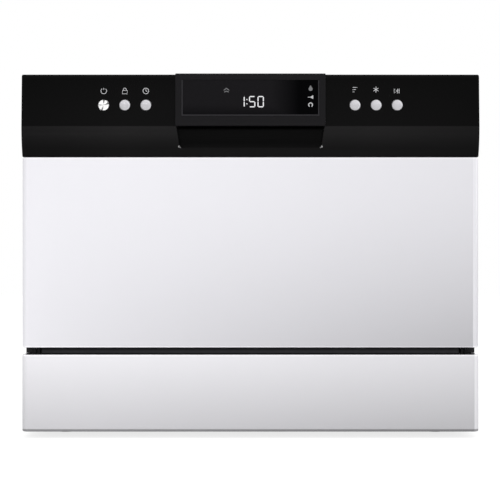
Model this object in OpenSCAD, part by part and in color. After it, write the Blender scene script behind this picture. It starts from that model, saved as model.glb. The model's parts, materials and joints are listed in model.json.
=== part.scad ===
// Countertop dishwasher with a drop-down door. The origin is on the floor under the middle of the
// machine, +Z is up and the front faces -Y. All sizes are in millimetres.

/* [Cabinet] */
// Width over the side panels
body_w = 550; // [548:1:556]
// Depth from the front of the display block to the hose fittings
body_d = 500; // [500:1:508]
// Height from the floor to the top of the display block
body_h = 438; // [438:1:442]
// Height of the feet under the kick plate
foot_h = 8; // [7:0.5:8]
// Thickness of the steel sheet
sheet = 1; // [0.8:0.1:1]
// Height of the top edge of the kick plate
kick_top = 100.5; // [98:0.5:101]

/* [Door] */
// Height of the bottom edge of the silver door panel
door_bottom = 109; // [109:0.5:110]
// Height where the silver panel meets the black control panel
door_top = 338; // [334:1:340]
// Radius of the upright corners of the door panel and the kick plate
corner_r = 6; // [4:0.5:8]
// Height of the hinge pins
hinge_z = 118; // [118:0.5:119]

/* [Control panel] */
// Height of the crease between the leaning face and the curved lower band
crease_z = 375; // [373:1:376]
// How far the leaning face goes back from the crease to its top
panel_lean = 4; // [3:0.5:4]
// Radius of the curved lower band
band_r = 75; // [70:1:85]
// Width of the display block
block_w = 180; // [174:1:184]
// Width of the finger pocket at its top
pocket_w = 178; // [170:1:178]
// Height of the finger pocket's floor
pocket_z = 349; // [347:1:352]
// Diameter of the push buttons
button_d = 13; // [11:0.5:14]
// Height of the row of buttons
button_z = 400.2; // [398:0.1:402]
// Distance from the middle to the nearest button
button_first = 125.5; // [120:0.5:128]
// Distance between the buttons
button_pitch = 25.3; // [22:0.1:26]
// How far a button goes in
button_travel = 1.5; // [1:0.1:1.5]

/* [Tub and rack] */
// Inside width of the tub
tub_w = 500; // [499:1:501]
// Height of the tub floor
tub_floor = 148; // [148:0.5:149]
// Height of the tub ceiling
tub_ceiling = 412; // [410:1:412]
// Radius of the tub corners
tub_r = 20; // [15:1:25]
// Thickness of the rack wires
wire = 3.2; // [2.8:0.1:3.4]
// Diameter of the rack wheels
wheel_d = 16; // [15.6:0.1:16]
// How far the rack rolls out
rack_travel = 190; // [150:5:190]

/* [Fittings] */
// Diameter of the water inlet over its thread
inlet_d = 26.4; // [26:0.1:26.6]
// Diameter of the drain spigot
spigot_d = 19; // [18:0.5:20]
// Diameter of the cord that the gland takes
gland_bore_d = 8; // [7:0.5:9]

/* [Hidden] */
$fn = 48;

half_w = body_w / 2;
front_y = -body_d / 2;
rear_y = body_d / 2;
run_gap = 0.05;
free_gap = 0.3;
far = 600;

crease_y = front_y + 4;
skin_y = front_y + 9;
kick_y = front_y + 8;
hinge_y = front_y + 22;
liner_y = front_y + 47;
wrap_y = front_y + 51;
cabinet_y = front_y + 52;
tub_back_y = rear_y - 55;
back_y = rear_y - 13;
tray_z = 10;
tray_h = 50;
tray_x = half_w - 2;
sill_z = tub_floor - 12;
cover_z = body_h - 3;
seam_z = cover_z - 10.6;
return_w = 17;

tub_x = tub_w / 2;
flange_x = tub_x + 12;
flange_top = cover_z - 1;

panel_top = body_h - 0.4;
panel_wall = 2.5;
panel_r = 4;
lean = atan2(panel_lean, panel_top - panel_r - crease_z);
block_x = block_w / 2;
block_back_y = front_y + 10.5;
window_x = block_x - 9;
window_lo = crease_z + 13.7;
window_hi = crease_z + 54.8;
window_y = front_y + 2.4;
pocket_x = pocket_w / 2;
pocket_back_y = front_y + 30;
grip_z = crease_z + 12;
board_y = front_y + 19;
board_lo = crease_z + 15;
board_hi = crease_z + 53;

wheel_r = wheel_d / 2;
rail_z = 250;
rail_in = tub_x - 10;
rail_rear = 185;
rack_floor = tub_floor + 30;
rim_z = 292;
rack_x = 214;
rim_x = 226;
rack_front = -140;
rack_rear = 165;
rim_front = -180;
rim_rear = 178;
mid_axle_y = 25;
rear_axle_y = 165;
rail_front = mid_axle_y - rack_travel - wheel_r - 22;
shelf_z = rim_z + 6;
shelf_w = 100;
shelf_front = -110;
shelf_rear = 130;
shelf_clips = [-95, 115];
shelf_rod_r = 1.8;

sump_x = 95;
sump_y = 60;
sump_r = 60;
pump_y = 60;
pump_z = 75;
fitting_z = 95;
inlet_x = -190;
gland_x = -120;
spigot_x = 195;
float_x = 150;
float_y = -150;
foot_r = 15;
stud_r = 4;
foot_x = half_w - 45;
foot_front = front_y + 96;
foot_rear = rear_y - 60;

pin_r = 4;
bracket_x = 256;
arm_x = 260;
arm_t = 2.5;
tail = [11, -19];
tail_pin_r = 2;
spring_x = 268;
spring_low_z = 32;

latch_y = front_y + 34;
latch_z = tub_ceiling + 14;
nib_z = latch_z + 4;
cup_lo = [-60, 215];
cup_hi = [-5, 270];
cap_x = 35;
cap_z = 242;

// A straight block from its lowest corner to its highest one
module block(lo, hi) {
    translate(lo) cube(hi - lo);
}

// Round rods along the three axes, from a to b
module rod_x(r, a, b, y, z) {
    translate([a, y, z]) rotate([0, 90, 0]) cylinder(r = r, h = b - a);
}

module rod_y(r, a, b, x, z) {
    translate([x, b, z]) rotate([90, 0, 0]) cylinder(r = r, h = b - a);
}

module rod_z(r, a, b, x, y) {
    translate([x, y, a]) cylinder(r = r, h = b - a);
}

// Flat outlines drawn in X and Z and carried along Y, or drawn in Y and Z and carried along X
module along_y(a, b) {
    translate([0, b, 0]) rotate([90, 0, 0]) linear_extrude(b - a) children();
}

module along_x(a, b) {
    translate([a, 0, 0]) rotate([90, 0, 90]) linear_extrude(b - a) children();
}

module both_sides() {
    children();
    mirror([1, 0, 0]) children();
}

// A rectangle with round corners, between two opposite corners
module round_rect(lo, hi, r) {
    translate(lo + [r, 0]) square([hi.x - lo.x - 2 * r, hi.y - lo.y]);
    translate(lo + [0, r]) square([hi.x - lo.x, hi.y - lo.y - 2 * r]);
    for (x = [lo.x + r, hi.x - r], y = [lo.y + r, hi.y - r]) translate([x, y]) circle(r);
}

// The plan of a panel that wraps round the front, with round corners
module wrap_plan(x, y0, y1, r) {
    translate([-x, y0 + r]) square([2 * x, y1 - y0 - r]);
    translate([r - x, y0]) square([2 * (x - r), r + 1]);
    for (s = [-1, 1]) translate([s * (x - r), y0 + r]) circle(r);
}

module wrap_shell(x, y0, y1, r, wall) {
    difference() {
        wrap_plan(x, y0, y1, r);
        wrap_plan(x - wall, y0 + wall, y1 + 1, r - wall);
    }
}

function foot_places() = [for (x = [-foot_x, foot_x], y = [foot_front, foot_rear]) [x, y]];
function screw_heights() = [for (i = [0 : 4]) tray_z + 30 + i * (seam_z - tray_z - 50) / 4];

module base_tray() {
    wall = 3;
    boss_r = 12;
    boss_h = 22;
    color("dimgray") difference() {
        union() {
            difference() {
                block([-tray_x, cabinet_y, tray_z], [tray_x, back_y - 2, tray_z + tray_h]);
                block([wall - tray_x, cabinet_y + wall, tray_z + wall],
                      [tray_x - wall, back_y - 2 - wall, tray_z + tray_h + 1]);
            }
            block([-tray_x, cabinet_y, tray_z], [tray_x, cabinet_y + wall, sill_z]);
            for (p = foot_places()) rod_z(boss_r, tray_z, tray_z + boss_h, p.x, p.y);
            rod_z(4, tray_z, tray_z + 50, float_x, float_y);
        }
        for (p = foot_places()) rod_z(stud_r + run_gap, tray_z - 1, tray_z + boss_h + 1, p.x, p.y);
        for (s = [-1, 1]) rod_y(2.05, back_y - 6, back_y, s * (half_w - 8), screw_heights()[0]);
    }
}

module foot(p) {
    groove_r = 0.9;
    color("#2b2b2d") {
        difference() {
            rod_z(foot_r, 0, foot_h, p.x, p.y);
            for (i = [0 : 5]) translate([p.x, p.y, 0]) rotate(60 * i) rod_z(groove_r, 2, foot_h + 1, foot_r, 0);
        }
        rod_z(stud_r, foot_h - 1, foot_h + 22, p.x, p.y);
    }
}

module kick_plate() {
    wall = 1.2;
    color("#c9c8cd") {
        translate([0, 0, foot_h]) linear_extrude(kick_top - foot_h)
            wrap_shell(half_w, kick_y, wrap_y - free_gap, corner_r + 2, wall);
        translate([0, 0, kick_top - 1]) linear_extrude(1) intersection() {
            wrap_plan(half_w - wall / 2, kick_y + wall / 2, wrap_y, corner_r + 1);
            translate([-half_w, kick_y]) square([2 * half_w, 13]);
        }
        block([25 - half_w, kick_y + wall / 2, tray_z], [half_w - 25, cabinet_y, tray_z + 1]);
    }
}

module sill_bar() {
    x = bracket_x - 2;
    top = door_bottom - 1;
    color("#29292b") difference() {
        block([-x, hinge_y + 10.5, top - 12], [x, cabinet_y, top]);
        block([2 - x, hinge_y + 12.5, top - 13], [x - 2, cabinet_y - 2, top - 2]);
    }
}

module side_panel() {
    low = tray_z - sheet;
    color("#d6d6d9") difference() {
        union() {
            block([half_w - sheet, wrap_y, low], [half_w, back_y, seam_z - 0.4]);
            block([half_w - return_w, wrap_y, low], [half_w, cabinet_y, seam_z - 0.4]);
            block([half_w - return_w, back_y - 1, low], [half_w, back_y, seam_z - 0.4]);
            block([half_w - return_w, wrap_y, low], [half_w, back_y, tray_z]);
        }
        for (z = screw_heights()) rod_y(2.05, back_y - 2, back_y + 1, half_w - 8, z);
    }
}

module left_side_panel() {
    mirror([1, 0, 0]) side_panel();
}

module right_side_panel() {
    side_panel();
}

module top_cover() {
    color("#d6d6d9") difference() {
        block([-half_w, wrap_y, seam_z], [half_w, back_y, cover_z + 1]);
        block([sheet - half_w, cabinet_y, seam_z - 1], [half_w - sheet, back_y - 1, cover_z]);
        latch_slot();
    }
}

// The slot through which the latch hook goes into the cabinet
module latch_slot() {
    block([-10, liner_y - 5, latch_z - 3], [10, cabinet_y + 2, latch_z + 6.5]);
}

module rear_panel() {
    color("#b4b4b8") difference() {
        block([-tray_x, back_y - 2, tray_z + 4], [tray_x, back_y - 1, flange_top]);
        rod_y(inlet_d / 2 + 0.4, back_y - 3, back_y, inlet_x, fitting_z);
        rod_y(spigot_d / 2 + 0.4, back_y - 3, back_y, spigot_x, fitting_z);
        rod_y(8.3, back_y - 3, back_y, gland_x, fitting_z);
        for (s = [-1, 1], z = screw_heights()) rod_y(2.05, back_y - 3, back_y, s * (half_w - 8), z);
        for (i = [0 : 7]) block([-50, back_y - 3, 70 + 7 * i], [50, back_y, 73 + 7 * i]);
        for (i = [0 : 7]) block([90, back_y - 3, 320 + 8 * i], [180, back_y, 323 + 8 * i]);
    }
}

module cabinet_screws() {
    color("silver") both_sides() for (z = screw_heights()) {
        difference() {
            rod_y(3.8, back_y, back_y + 2, half_w - 8, z);
            block([half_w - 10.5, back_y + 1, z - 0.5], [half_w - 5.5, back_y + 3, z + 0.5]);
            block([half_w - 8.5, back_y + 1, z - 2.5], [half_w - 7.5, back_y + 3, z + 2.5]);
        }
        rod_y(1.95, back_y - 6, back_y + 0.5, half_w - 8, z);
    }
}

// The tub's cross section, grown by a distance
module tub_section(grow) {
    lo = [-tub_x - grow, tub_floor - grow];
    hi = [tub_x + grow, tub_ceiling + grow];
    round_rect(lo, hi, tub_r + grow);
}

module tub() {
    color("#c4c5c8") difference() {
        union() {
            along_y(cabinet_y, tub_back_y) difference() {
                tub_section(sheet);
                tub_section(0);
            }
            along_y(tub_back_y, tub_back_y + sheet) tub_section(sheet);
            along_y(cabinet_y, cabinet_y + sheet) difference() {
                round_rect([-flange_x, sill_z + 1], [flange_x, flange_top], 3);
                tub_section(0);
            }
        }
        rod_z(sump_r - 2, tub_floor - 3, tub_floor + 3, sump_x, sump_y);
        rod_z(13.3, tub_floor - 3, tub_floor + 3, 0, 0);
        latch_slot();
    }
}

module door_seal() {
    color("#4a4b4e") along_y(liner_y + sheet + free_gap, cabinet_y) difference() {
        tub_section(7.5);
        tub_section(1);
    }
}

module rack_rails() {
    wall = 1.5;
    low = rail_z - wheel_r - free_gap - wall;
    high = rail_z + wheel_r + 0.5;
    color("#c7c8cb") both_sides() {
        block([tub_x - wall, rail_front, low], [tub_x, rail_rear, high + wall]);
        block([rail_in, rail_front, low], [tub_x, rail_rear, low + wall]);
        block([rail_in, rail_front, high], [tub_x, rail_rear, high + wall]);
        for (y = [rail_front, rail_rear - wall]) block([rail_in, y, low], [tub_x, y + wall, high + wall]);
    }
}

module sump() {
    wall = 3;
    low = 60;
    high = tub_floor - sheet;
    hub = 13;
    color("#5b5c60") difference() {
        union() {
            rod_z(sump_r, low, high, sump_x, sump_y);
            rod_z(sump_r + 8, high - 3, high, sump_x, sump_y);
            block([-hub, -hub, high - 22], [hub, hub, high - 1]);
            rod_z(hub, high - 2, tub_floor + 9, 0, 0);
            rotate(atan2(sump_y, sump_x)) block([0, -9, high - 22], [60, 9, high - 4]);
            rod_z(5, tub_floor, tub_floor + 24, 0, 0);
        }
        rod_z(sump_r - wall, low + wall, high + 1, sump_x, sump_y);
        rod_x(12.3, 30, 60, pump_y, pump_z);
        rod_x(10.3, sump_x + 40, sump_x + 70, pump_y, pump_z + 10);
    }
}

module filter_plate() {
    hole_r = 2.2;
    color("#bfc0c4") difference() {
        translate([0, 0, tub_floor]) linear_extrude(1.2) round_rect([-60, -70], [200, 160], 30);
        rod_z(40.2, tub_floor - 1, tub_floor + 3, sump_x, sump_y);
        rod_z(18, tub_floor - 1, tub_floor + 3, 0, 0);
        for (i = [0 : 19]) translate([sump_x, sump_y, 0]) rotate(18 * i) {
            rod_z(hole_r, tub_floor - 1, tub_floor + 3, 47, 0);
            rod_z(hole_r, tub_floor - 1, tub_floor + 3, 54.5, 0);
        }
    }
}

module filter_cylinder() {
    r = 39.8;
    low = 72;
    high = tub_floor + 2.2;
    color("#8b8c90") difference() {
        union() {
            rod_z(r, low, high, sump_x, sump_y);
            translate([sump_x, sump_y, 0]) block([-26, -2.5, high - 2], [26, 2.5, tub_floor + 7]);
        }
        for (a = [0, 180]) translate([sump_x, sump_y, 0]) rotate(a) difference() {
            rod_z(r - 2, low + 2, high + 1, 0, 0);
            block([-far, -2.5, low], [far, far, high + 2]);
        }
        for (i = [0 : 11]) translate([sump_x, sump_y, 0]) rotate(30 * i)
            block([r - 8, -5, low + 8], [r + 4, 5, high - 18]);
    }
}

module spray_arm() {
    low = tub_floor + 11;
    reach = 165;
    tip_r = 11;
    color("#9a9b9f") difference() {
        union() {
            rod_z(17, low - 1.5, low + 12, 0, 0);
            translate([0, 0, low]) linear_extrude(9) {
                polygon([[reach, tip_r], [0, 17], [-reach, tip_r], [-reach, -tip_r], [0, -17], [reach, -tip_r]]);
                for (s = [-1, 1]) translate([s * reach, 0]) circle(tip_r);
            }
            for (s = [-1, 1], i = [1 : 4]) rod_z(3.5, low + 8, low + 11, s * (38 * i + 6), 3 * s);
        }
        rod_z(5 + run_gap, low - 3, low + 14, 0, 0);
        for (s = [-1, 1], i = [1 : 4]) rod_z(1.2, low + 5, low + 12, s * (38 * i + 6), 3 * s);
    }
}

module leak_float() {
    color("#e6e6e6") difference() {
        rod_z(18, tray_z + 4, tray_z + 24, float_x, float_y);
        rod_z(4 + run_gap, tray_z, tray_z + 30, float_x, float_y);
    }
}

module wash_pump() {
    color("#3c3d40") difference() {
        union() {
            rod_x(42, -62, -20, pump_y, pump_z);
            rod_x(38, -160, -61, pump_y, pump_z);
            rod_x(12, -21, 37, pump_y, pump_z);
            rod_y(10, pump_y, pump_y + 44, -41, fitting_z);
            block([-150, pump_y - 30, tray_z + 3], [-72, pump_y + 30, pump_z - 20]);
        }
        rod_x(36, -54, -28, pump_y, pump_z);
        rod_x(9, -30, 38, pump_y, pump_z);
        rod_y(7, pump_y + 10, pump_y + 46, -41, fitting_z);
        rod_x(pin_r + run_gap, -112, -50, pump_y, pump_z);
    }
}

module wash_impeller() {
    color("#c8b44a") {
        rod_x(33, -50, -46, pump_y, pump_z);
        rod_x(8, -47, -34, pump_y, pump_z);
        rod_x(pin_r, -110, -46, pump_y, pump_z);
        for (i = [0 : 5]) translate([-46.5, pump_y, pump_z]) rotate([60 * i, 0, 0])
            block([0, 5, -1.2], [11, 31, 1.2]);
    }
}

module drain_pump() {
    z = pump_z + 10;
    color("#45464a") difference() {
        union() {
            rod_x(28, 166, 224, pump_y, z);
            rod_x(10, sump_x + sump_r - 2.5, 167, pump_y, z);
            rod_y(9, pump_y, pump_y + 40, spigot_x, fitting_z);
            block([176, pump_y - 20, tray_z + 3], [214, pump_y + 20, z - 15]);
        }
        rod_x(7, sump_x + sump_r - 5, 180, pump_y, z);
        rod_y(6, pump_y + 20, pump_y + 41, spigot_x, fitting_z);
    }
}

module drain_pipe() {
    color("#77787b") difference() {
        rod_y(9, pump_y + 40, back_y - 9, spigot_x, fitting_z);
        rod_y(6, pump_y + 39, back_y - 8, spigot_x, fitting_z);
    }
}

module drain_spigot() {
    color("#6a6b6e") difference() {
        union() {
            rod_y(spigot_d / 2 - 0.6, back_y - 9, back_y, spigot_x, fitting_z);
            rod_y(spigot_d / 2, back_y, rear_y, spigot_x, fitting_z);
            rod_y(15, back_y - 5, back_y - 2, spigot_x, fitting_z);
        }
        rod_y(6, back_y - 10, rear_y + 1, spigot_x, fitting_z);
    }
}

module flow_heater() {
    z = tub_floor - 14;
    elbow = [-41, 0, z];
    color("#a9aaad") {
        rod_y(20, pump_y + 44, pump_y + 130, -41, fitting_z);
        rod_z(8, fitting_z + 10, z, -41, 150);
        rod_y(8, 0, 150, -41, z);
        rod_x(8, -41, -13, 0, z);
        translate(elbow) sphere(8);
        translate([-41, 150, z]) sphere(8);
    }
}

module inlet_valve() {
    color("#e9e9e6") difference() {
        union() {
            block([inlet_x - 22, back_y - 47, fitting_z - 20], [inlet_x + 22, back_y - 2, fitting_z + 20]);
            rod_y(inlet_d / 2 - 1.2, back_y - 3, back_y, inlet_x, fitting_z);
            rod_y(inlet_d / 2, back_y, rear_y, inlet_x, fitting_z);
            rod_z(12, fitting_z + 19, fitting_z + 50, inlet_x, back_y - 25);
        }
        rod_y(9, back_y - 15, rear_y + 1, inlet_x, fitting_z);
    }
}

module inlet_pipe() {
    x = 11 - half_w;
    color("#77787b") {
        rod_x(6, x, inlet_x - 22, back_y - 25, fitting_z);
        rod_z(6, fitting_z, 150, x, back_y - 25);
        translate([x, back_y - 25, fitting_z]) sphere(6);
    }
}

module air_break() {
    x = 4 - half_w;
    color("#dcdcd6") difference() {
        block([x, -60, 150], [x + 17, back_y - 12, 400]);
        for (i = [0 : 5]) block([x - 1, -50 + 45 * i, 165], [x + 12, -13 + 45 * i, 385]);
    }
}

module cord_gland() {
    color("#1d1d1f") difference() {
        union() {
            rod_y(8, back_y - 11, back_y + 9, gland_x, fitting_z);
            rod_y(11, back_y - 1, back_y + 2, gland_x, fitting_z);
            rod_y(11, back_y - 5, back_y - 2, gland_x, fitting_z);
        }
        rod_y(gland_bore_d / 2, back_y - 12, back_y + 10, gland_x, fitting_z);
    }
}

module power_board() {
    lo = [-210, -160, tray_z + 3];
    color("#2f5d3a") {
        difference() {
            block(lo, lo + [90, 110, 36]);
            block(lo + [2, 2, 2], lo + [88, 108, 37]);
        }
        block(lo + [2, 2, 8], lo + [88, 108, 10]);
        for (i = [0 : 2]) block(lo + [10 + 26 * i, 15, 9], lo + [28 + 26 * i, 45, 26]);
        for (y = [62, 88]) block(lo + [12, y, 9], lo + [70, y + 12, 30]);
    }
}

module hinge_brackets() {
    leg = [[-2, 8.6], [28, 12], [28, -92], [12, -92], [12, -11], [3, -8.4]];
    color("#2b2b2d") both_sides() {
        along_x(bracket_x, bracket_x + 3) translate([hinge_y, hinge_z]) {
            polygon(leg);
            circle(9);
        }
        block([bracket_x - 14, cabinet_y - 2, hinge_z - 92], [bracket_x + 1.5, cabinet_y, door_bottom - 15]);
        block([bracket_x + 2, wrap_y - 4, hinge_z - 22], [half_w - 5, wrap_y - free_gap, hinge_z - 10.5]);
        block([half_w - 6, wrap_y - 4, kick_top + free_gap], [half_w - 0.5, wrap_y - free_gap, hinge_z - 10.5]);
        rod_x(pin_r, bracket_x, arm_x + arm_t + 1.2, hinge_y, hinge_z);
        rod_x(tail_pin_r, bracket_x, spring_x + 5, hinge_y + tail.x, spring_low_z);
    }
}

module hinge_arms() {
    plate = [[-8, 0], [-8, 150], [25, 150], [25, 62], [9, 40], [9, 0]];
    side = 4;
    color("#2b2b2d") both_sides() difference() {
        union() {
            along_x(arm_x, arm_x + arm_t) translate([hinge_y, hinge_z]) {
                polygon(plate);
                circle(9);
                translate(tail) circle(side);
                rotate(atan2(tail.y, tail.x)) translate([0, 0.5 - side]) square([norm(tail), 2 * side - 1]);
            }
            block([arm_x, liner_y - 2, hinge_z + 62], [arm_x + 10, liner_y, hinge_z + 150]);
            rod_x(tail_pin_r, arm_x, spring_x + 5, hinge_y + tail.x, hinge_z + tail.y);
        }
        rod_x(pin_r + run_gap, arm_x - 1, arm_x + arm_t + 1, hinge_y, hinge_z);
    }
}

module door_springs() {
    y = hinge_y + tail.x;
    high_z = hinge_z + tail.y;
    color("#9b9c9f") both_sides() {
        difference() {
            rod_z(4.5, spring_low_z + 3.4, high_z - 3.4, spring_x, y);
            rod_z(3.3, spring_low_z + 6, high_z - 6, spring_x, y);
        }
        for (z = [spring_low_z, high_z]) translate([spring_x, y, z]) rotate([0, 90, 0])
            rotate_extrude() translate([3.1, 0]) circle(0.8);
    }
}

module latch_keeper() {
    color("#9b9c9f") block([-12, cabinet_y + 1, nib_z + 1.3], [12, cabinet_y + 3.4, flange_top]);
}

// Points on an arc, from one angle to another
function arc(centre, r, a, b, steps) =
    [for (i = [0 : steps]) let (t = a + (b - a) * i / steps) centre + r * [cos(t), sin(t)]];

// Cross section of the control panel, in Y and Z, drawn in by a wall: the curved lower band, the
// leaning face and the rounded top edge
module panel_section(wall) {
    foot_z = door_top + free_gap + wall;
    band = [crease_y + band_r, crease_z];
    turn = [crease_y + panel_lean + panel_r, panel_top - panel_r];
    sweep = asin((crease_z - foot_z) / (band_r - wall));
    back = liner_y - free_gap;
    polygon(concat(
        [[back, panel_top - wall], [back, foot_z]],
        arc(band, band_r - wall, 180 + sweep, 180, 12),
        arc(turn, panel_r - wall, 180 - lean, 90, 5)
    ));
}

// Front view of the finger pocket, narrower at its floor, grown by a wall
module pocket_front(grow) {
    hi = crease_z + 0.1;
    polygon([[-pocket_x - grow, hi], [pocket_x + grow, hi],
             [pocket_x - 4 + grow, pocket_z - grow], [4 - pocket_x - grow, pocket_z - grow]]);
}

// The moulded face, and the tray of the finger pocket that is clipped in behind it
module control_panel() {
    seat_y = front_y + 10.5;
    seam = 0.1;
    tray_wall = 2;
    tray_y = pocket_back_y + tray_wall;
    color("#141315") {
        difference() {
            union() {
                difference() {
                    along_x(-half_w, half_w) panel_section(0);
                    along_x(panel_wall - half_w, half_w - panel_wall) translate([free_gap + 0.1, 0])
                        panel_section(panel_wall);
                }
                for (x = [-185, -100, 100, 185]) rod_y(4, crease_y + 4, board_y - 0.6, x, board_hi - 4);
            }
            along_y(front_y - 1, pocket_back_y) pocket_front(0);
            block([-block_x - free_gap, front_y - 1, crease_z], [block_x + free_gap, seat_y, far]);
            for (x = button_places()) rod_y(button_d / 2 + 0.35, front_y, board_y - 4, x, button_z);
        }
        difference() {
            intersection() {
                union() {
                    along_y(crease_y, tray_y) pocket_front(tray_wall);
                    block([-pocket_x - 1, seat_y, crease_z - 7], [pocket_x + 1, tray_y, grip_z + tray_wall]);
                }
                along_x(-half_w, half_w) translate([free_gap + 0.1, 0]) panel_section(panel_wall + seam);
            }
            along_y(front_y - 1, pocket_back_y) pocket_front(0);
            block([tray_wall - pocket_x, seat_y + tray_wall, crease_z - 5],
                [pocket_x - tray_wall, pocket_back_y, grip_z]);
            block([-far, front_y - 1, crease_z - seam], [far, seat_y, far]);
        }
    }
}

module display_bezel() {
    top_r = 3;
    low_r = 1.5;
    top = body_h;
    color("#232226") difference() {
        along_x(-block_x, block_x) {
            translate([front_y + top_r, crease_z]) square([block_back_y - front_y - top_r, top - crease_z]);
            translate([front_y, crease_z + low_r]) square([5, top - crease_z - top_r - low_r]);
            translate([front_y + top_r, top - top_r]) circle(top_r);
            translate([front_y + low_r, crease_z + low_r]) circle(low_r);
        }
        block([-window_x - 0.1, front_y - 1, window_lo - 0.1], [window_x + 0.1, window_y, window_hi + 0.1]);
        block([3 - window_x, front_y, window_lo + 3], [window_x - 3, block_back_y + 1, window_hi - 3]);
    }
}

module display_window() {
    color("#0c0c0e") block([-window_x, front_y + 0.3, window_lo], [window_x, window_y, window_hi]);
}

function button_places() = [for (s = [-1, 1], i = [0 : 2]) s * (button_first + button_pitch * i)];

// A push button with a collar behind the panel that keeps it in
module button(x) {
    face_y = crease_y + panel_lean * (button_z - crease_z) / (panel_top - crease_z) - 2;
    collar_y = front_y + 10;
    color("#c9c9cb") {
        rod_y(button_d / 2, face_y, collar_y + 1, x, button_z);
        rod_y(button_d / 2 + 1.2, collar_y, collar_y + 1, x, button_z);
        rod_y(3, collar_y, board_y - 3.6 - button_travel - free_gap, x, button_z);
    }
}

module control_board() {
    color("#1f5133") {
        block([-192, board_y - 0.6, board_lo], [192, board_y + 1, board_hi]);
        block([-60, block_back_y + 0.2, board_lo + 3], [60, board_y, board_hi - 3]);
        for (x = button_places()) rod_y(3, board_y - 3.6, board_y, x, button_z);
        for (x = [-150, 90]) block([x, board_y, board_lo + 6], [x + 50, board_y + 6, board_lo + 26]);
    }
}

module door_skin() {
    color("#c9c8cd") {
        translate([0, 0, door_bottom]) linear_extrude(door_top - door_bottom)
            wrap_shell(half_w - 0.5, skin_y, liner_y - 1, corner_r, sheet);
        block([4 - bracket_x, skin_y + 0.5, door_bottom], [bracket_x - 4, hinge_y, door_bottom + 1]);
        block([6 - half_w, skin_y + 0.5, door_top - 1], [half_w - 6, hinge_y, door_top]);
    }
}

module door_liner() {
    wide = half_w - 4;
    narrow = bracket_x - 4;
    dish_lo = [-235, 165];
    dish_hi = [235, 405];
    dish_y = liner_y + 4;
    color("#c2c3c6") difference() {
        union() {
            along_y(liner_y, liner_y + 1) {
                translate([-wide, hinge_z + 52]) square([2 * wide, flange_top - hinge_z - 52]);
                translate([-narrow, door_bottom]) square([2 * narrow, 62]);
            }
            along_y(liner_y, dish_y) round_rect(dish_lo, dish_hi, 15);
            block([-narrow, hinge_y, door_bottom], [narrow, liner_y + 1, door_bottom + 1]);
        }
        along_y(liner_y - 1, dish_y - 1) round_rect(dish_lo + [1, 1], dish_hi - [1, 1], 14);
        block([-73, liner_y, 202], [68, dish_y + 1, 283]);
        latch_slot();
    }
}

module sill_seal() {
    color("#4a4b4e") {
        block([-244, liner_y + 1, 122], [244, liner_y + 2.6, 132]);
        block([-244, liner_y + 2.5, 128], [244, liner_y + 3.8, 130]);
    }
}

module dispenser_housing() {
    dish_y = liner_y + 4;
    face_y = dish_y + 2;
    color("#d9d9da") difference() {
        union() {
            block([-118, dish_y, 199], [70, face_y, 286]);
            block([-72, liner_y - 20, 203], [67, dish_y + 1, 282]);
            for (z = [211.2, 273.3]) block([-116, face_y - 1, z], [0, face_y + 1, z + 1.5]);
        }
        block([cup_lo.x, liner_y - 18, cup_lo.y], [cup_hi.x, face_y + 1, cup_hi.y]);
        rod_y(10 + run_gap, liner_y - 6, face_y + 1, cap_x, cap_z);
    }
}

module dispenser_lid() {
    y = liner_y + 6 + free_gap;
    color("#bdbec2") {
        block([cup_lo.x - 4, y, cup_lo.y - 2], [cup_hi.x + 4, y + 2, cup_hi.y + 3]);
        block([cup_lo.x + 6, y + 1, 225], [cup_lo.x + 9, y + 3.2, 260]);
    }
}

module rinse_aid_cap() {
    y = liner_y + 6 + free_gap;
    color("#5f6064") {
        rod_y(17, y, y + 2, cap_x, cap_z);
        rod_y(10, liner_y - 5, y + 1, cap_x, cap_z);
        block([cap_x - 12, y + 1, cap_z - 2], [cap_x + 12, y + 3.7, cap_z + 2]);
    }
}

module latch_housing() {
    lo = latch_z - 24;
    color("#e4e4e0") difference() {
        block([-22, latch_y - 11, lo], [22, liner_y, flange_top - 0.5]);
        block([-4.5, latch_y - 8, latch_z - 8], [4.5, liner_y + 1, flange_top - 2]);
        rod_x(2 + run_gap, -9, 9, latch_y, latch_z);
    }
}

module latch_hook() {
    tip_y = cabinet_y + 8;
    color("#9b9c9f") {
        rod_x(2, -8.5, 8.5, latch_y, latch_z);
        rod_x(4, -3, 3, latch_y, latch_z);
        block([-3, latch_y, latch_z - 1.5], [3, tip_y, latch_z + 1.5]);
        block([-3, tip_y - 3, latch_z - 1], [3, tip_y, nib_z]);
    }
}

// A flat grid of square wires: a plate with rows and columns of windows, under a wider rim. A nose
// carries the rim past the start of the grid, on one leaning wire.
module wire_grid(size, columns, rows, rim, nose = 0) {
    step = [(size.x - wire) / columns, (size.y - rim) / rows];
    linear_extrude(wire) {
        difference() {
            square(size);
            for (i = [0 : columns - 1], k = [0 : rows - 1])
                translate([wire + i * step.x, wire + k * step.y]) square(step - [wire, wire]);
        }
        if (nose > 0) difference() {
            polygon([[0, 0], [wire, 0], [wire, size.y], [-nose, size.y]]);
            polygon([[0, wire * 3], [0, size.y - rim], [wire * 1.4 - nose, size.y - rim]]);
        }
    }
}

// One leaning wall of the rack, whose grid is drawn flat and stood up on its lower edge
module rack_wall(start, turn, lean_back, size, columns, nose = 0) {
    translate(start) rotate(turn) rotate([90 + lean_back, 0, 0]) wire_grid(size, columns, 2, 4, nose);
}

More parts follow.
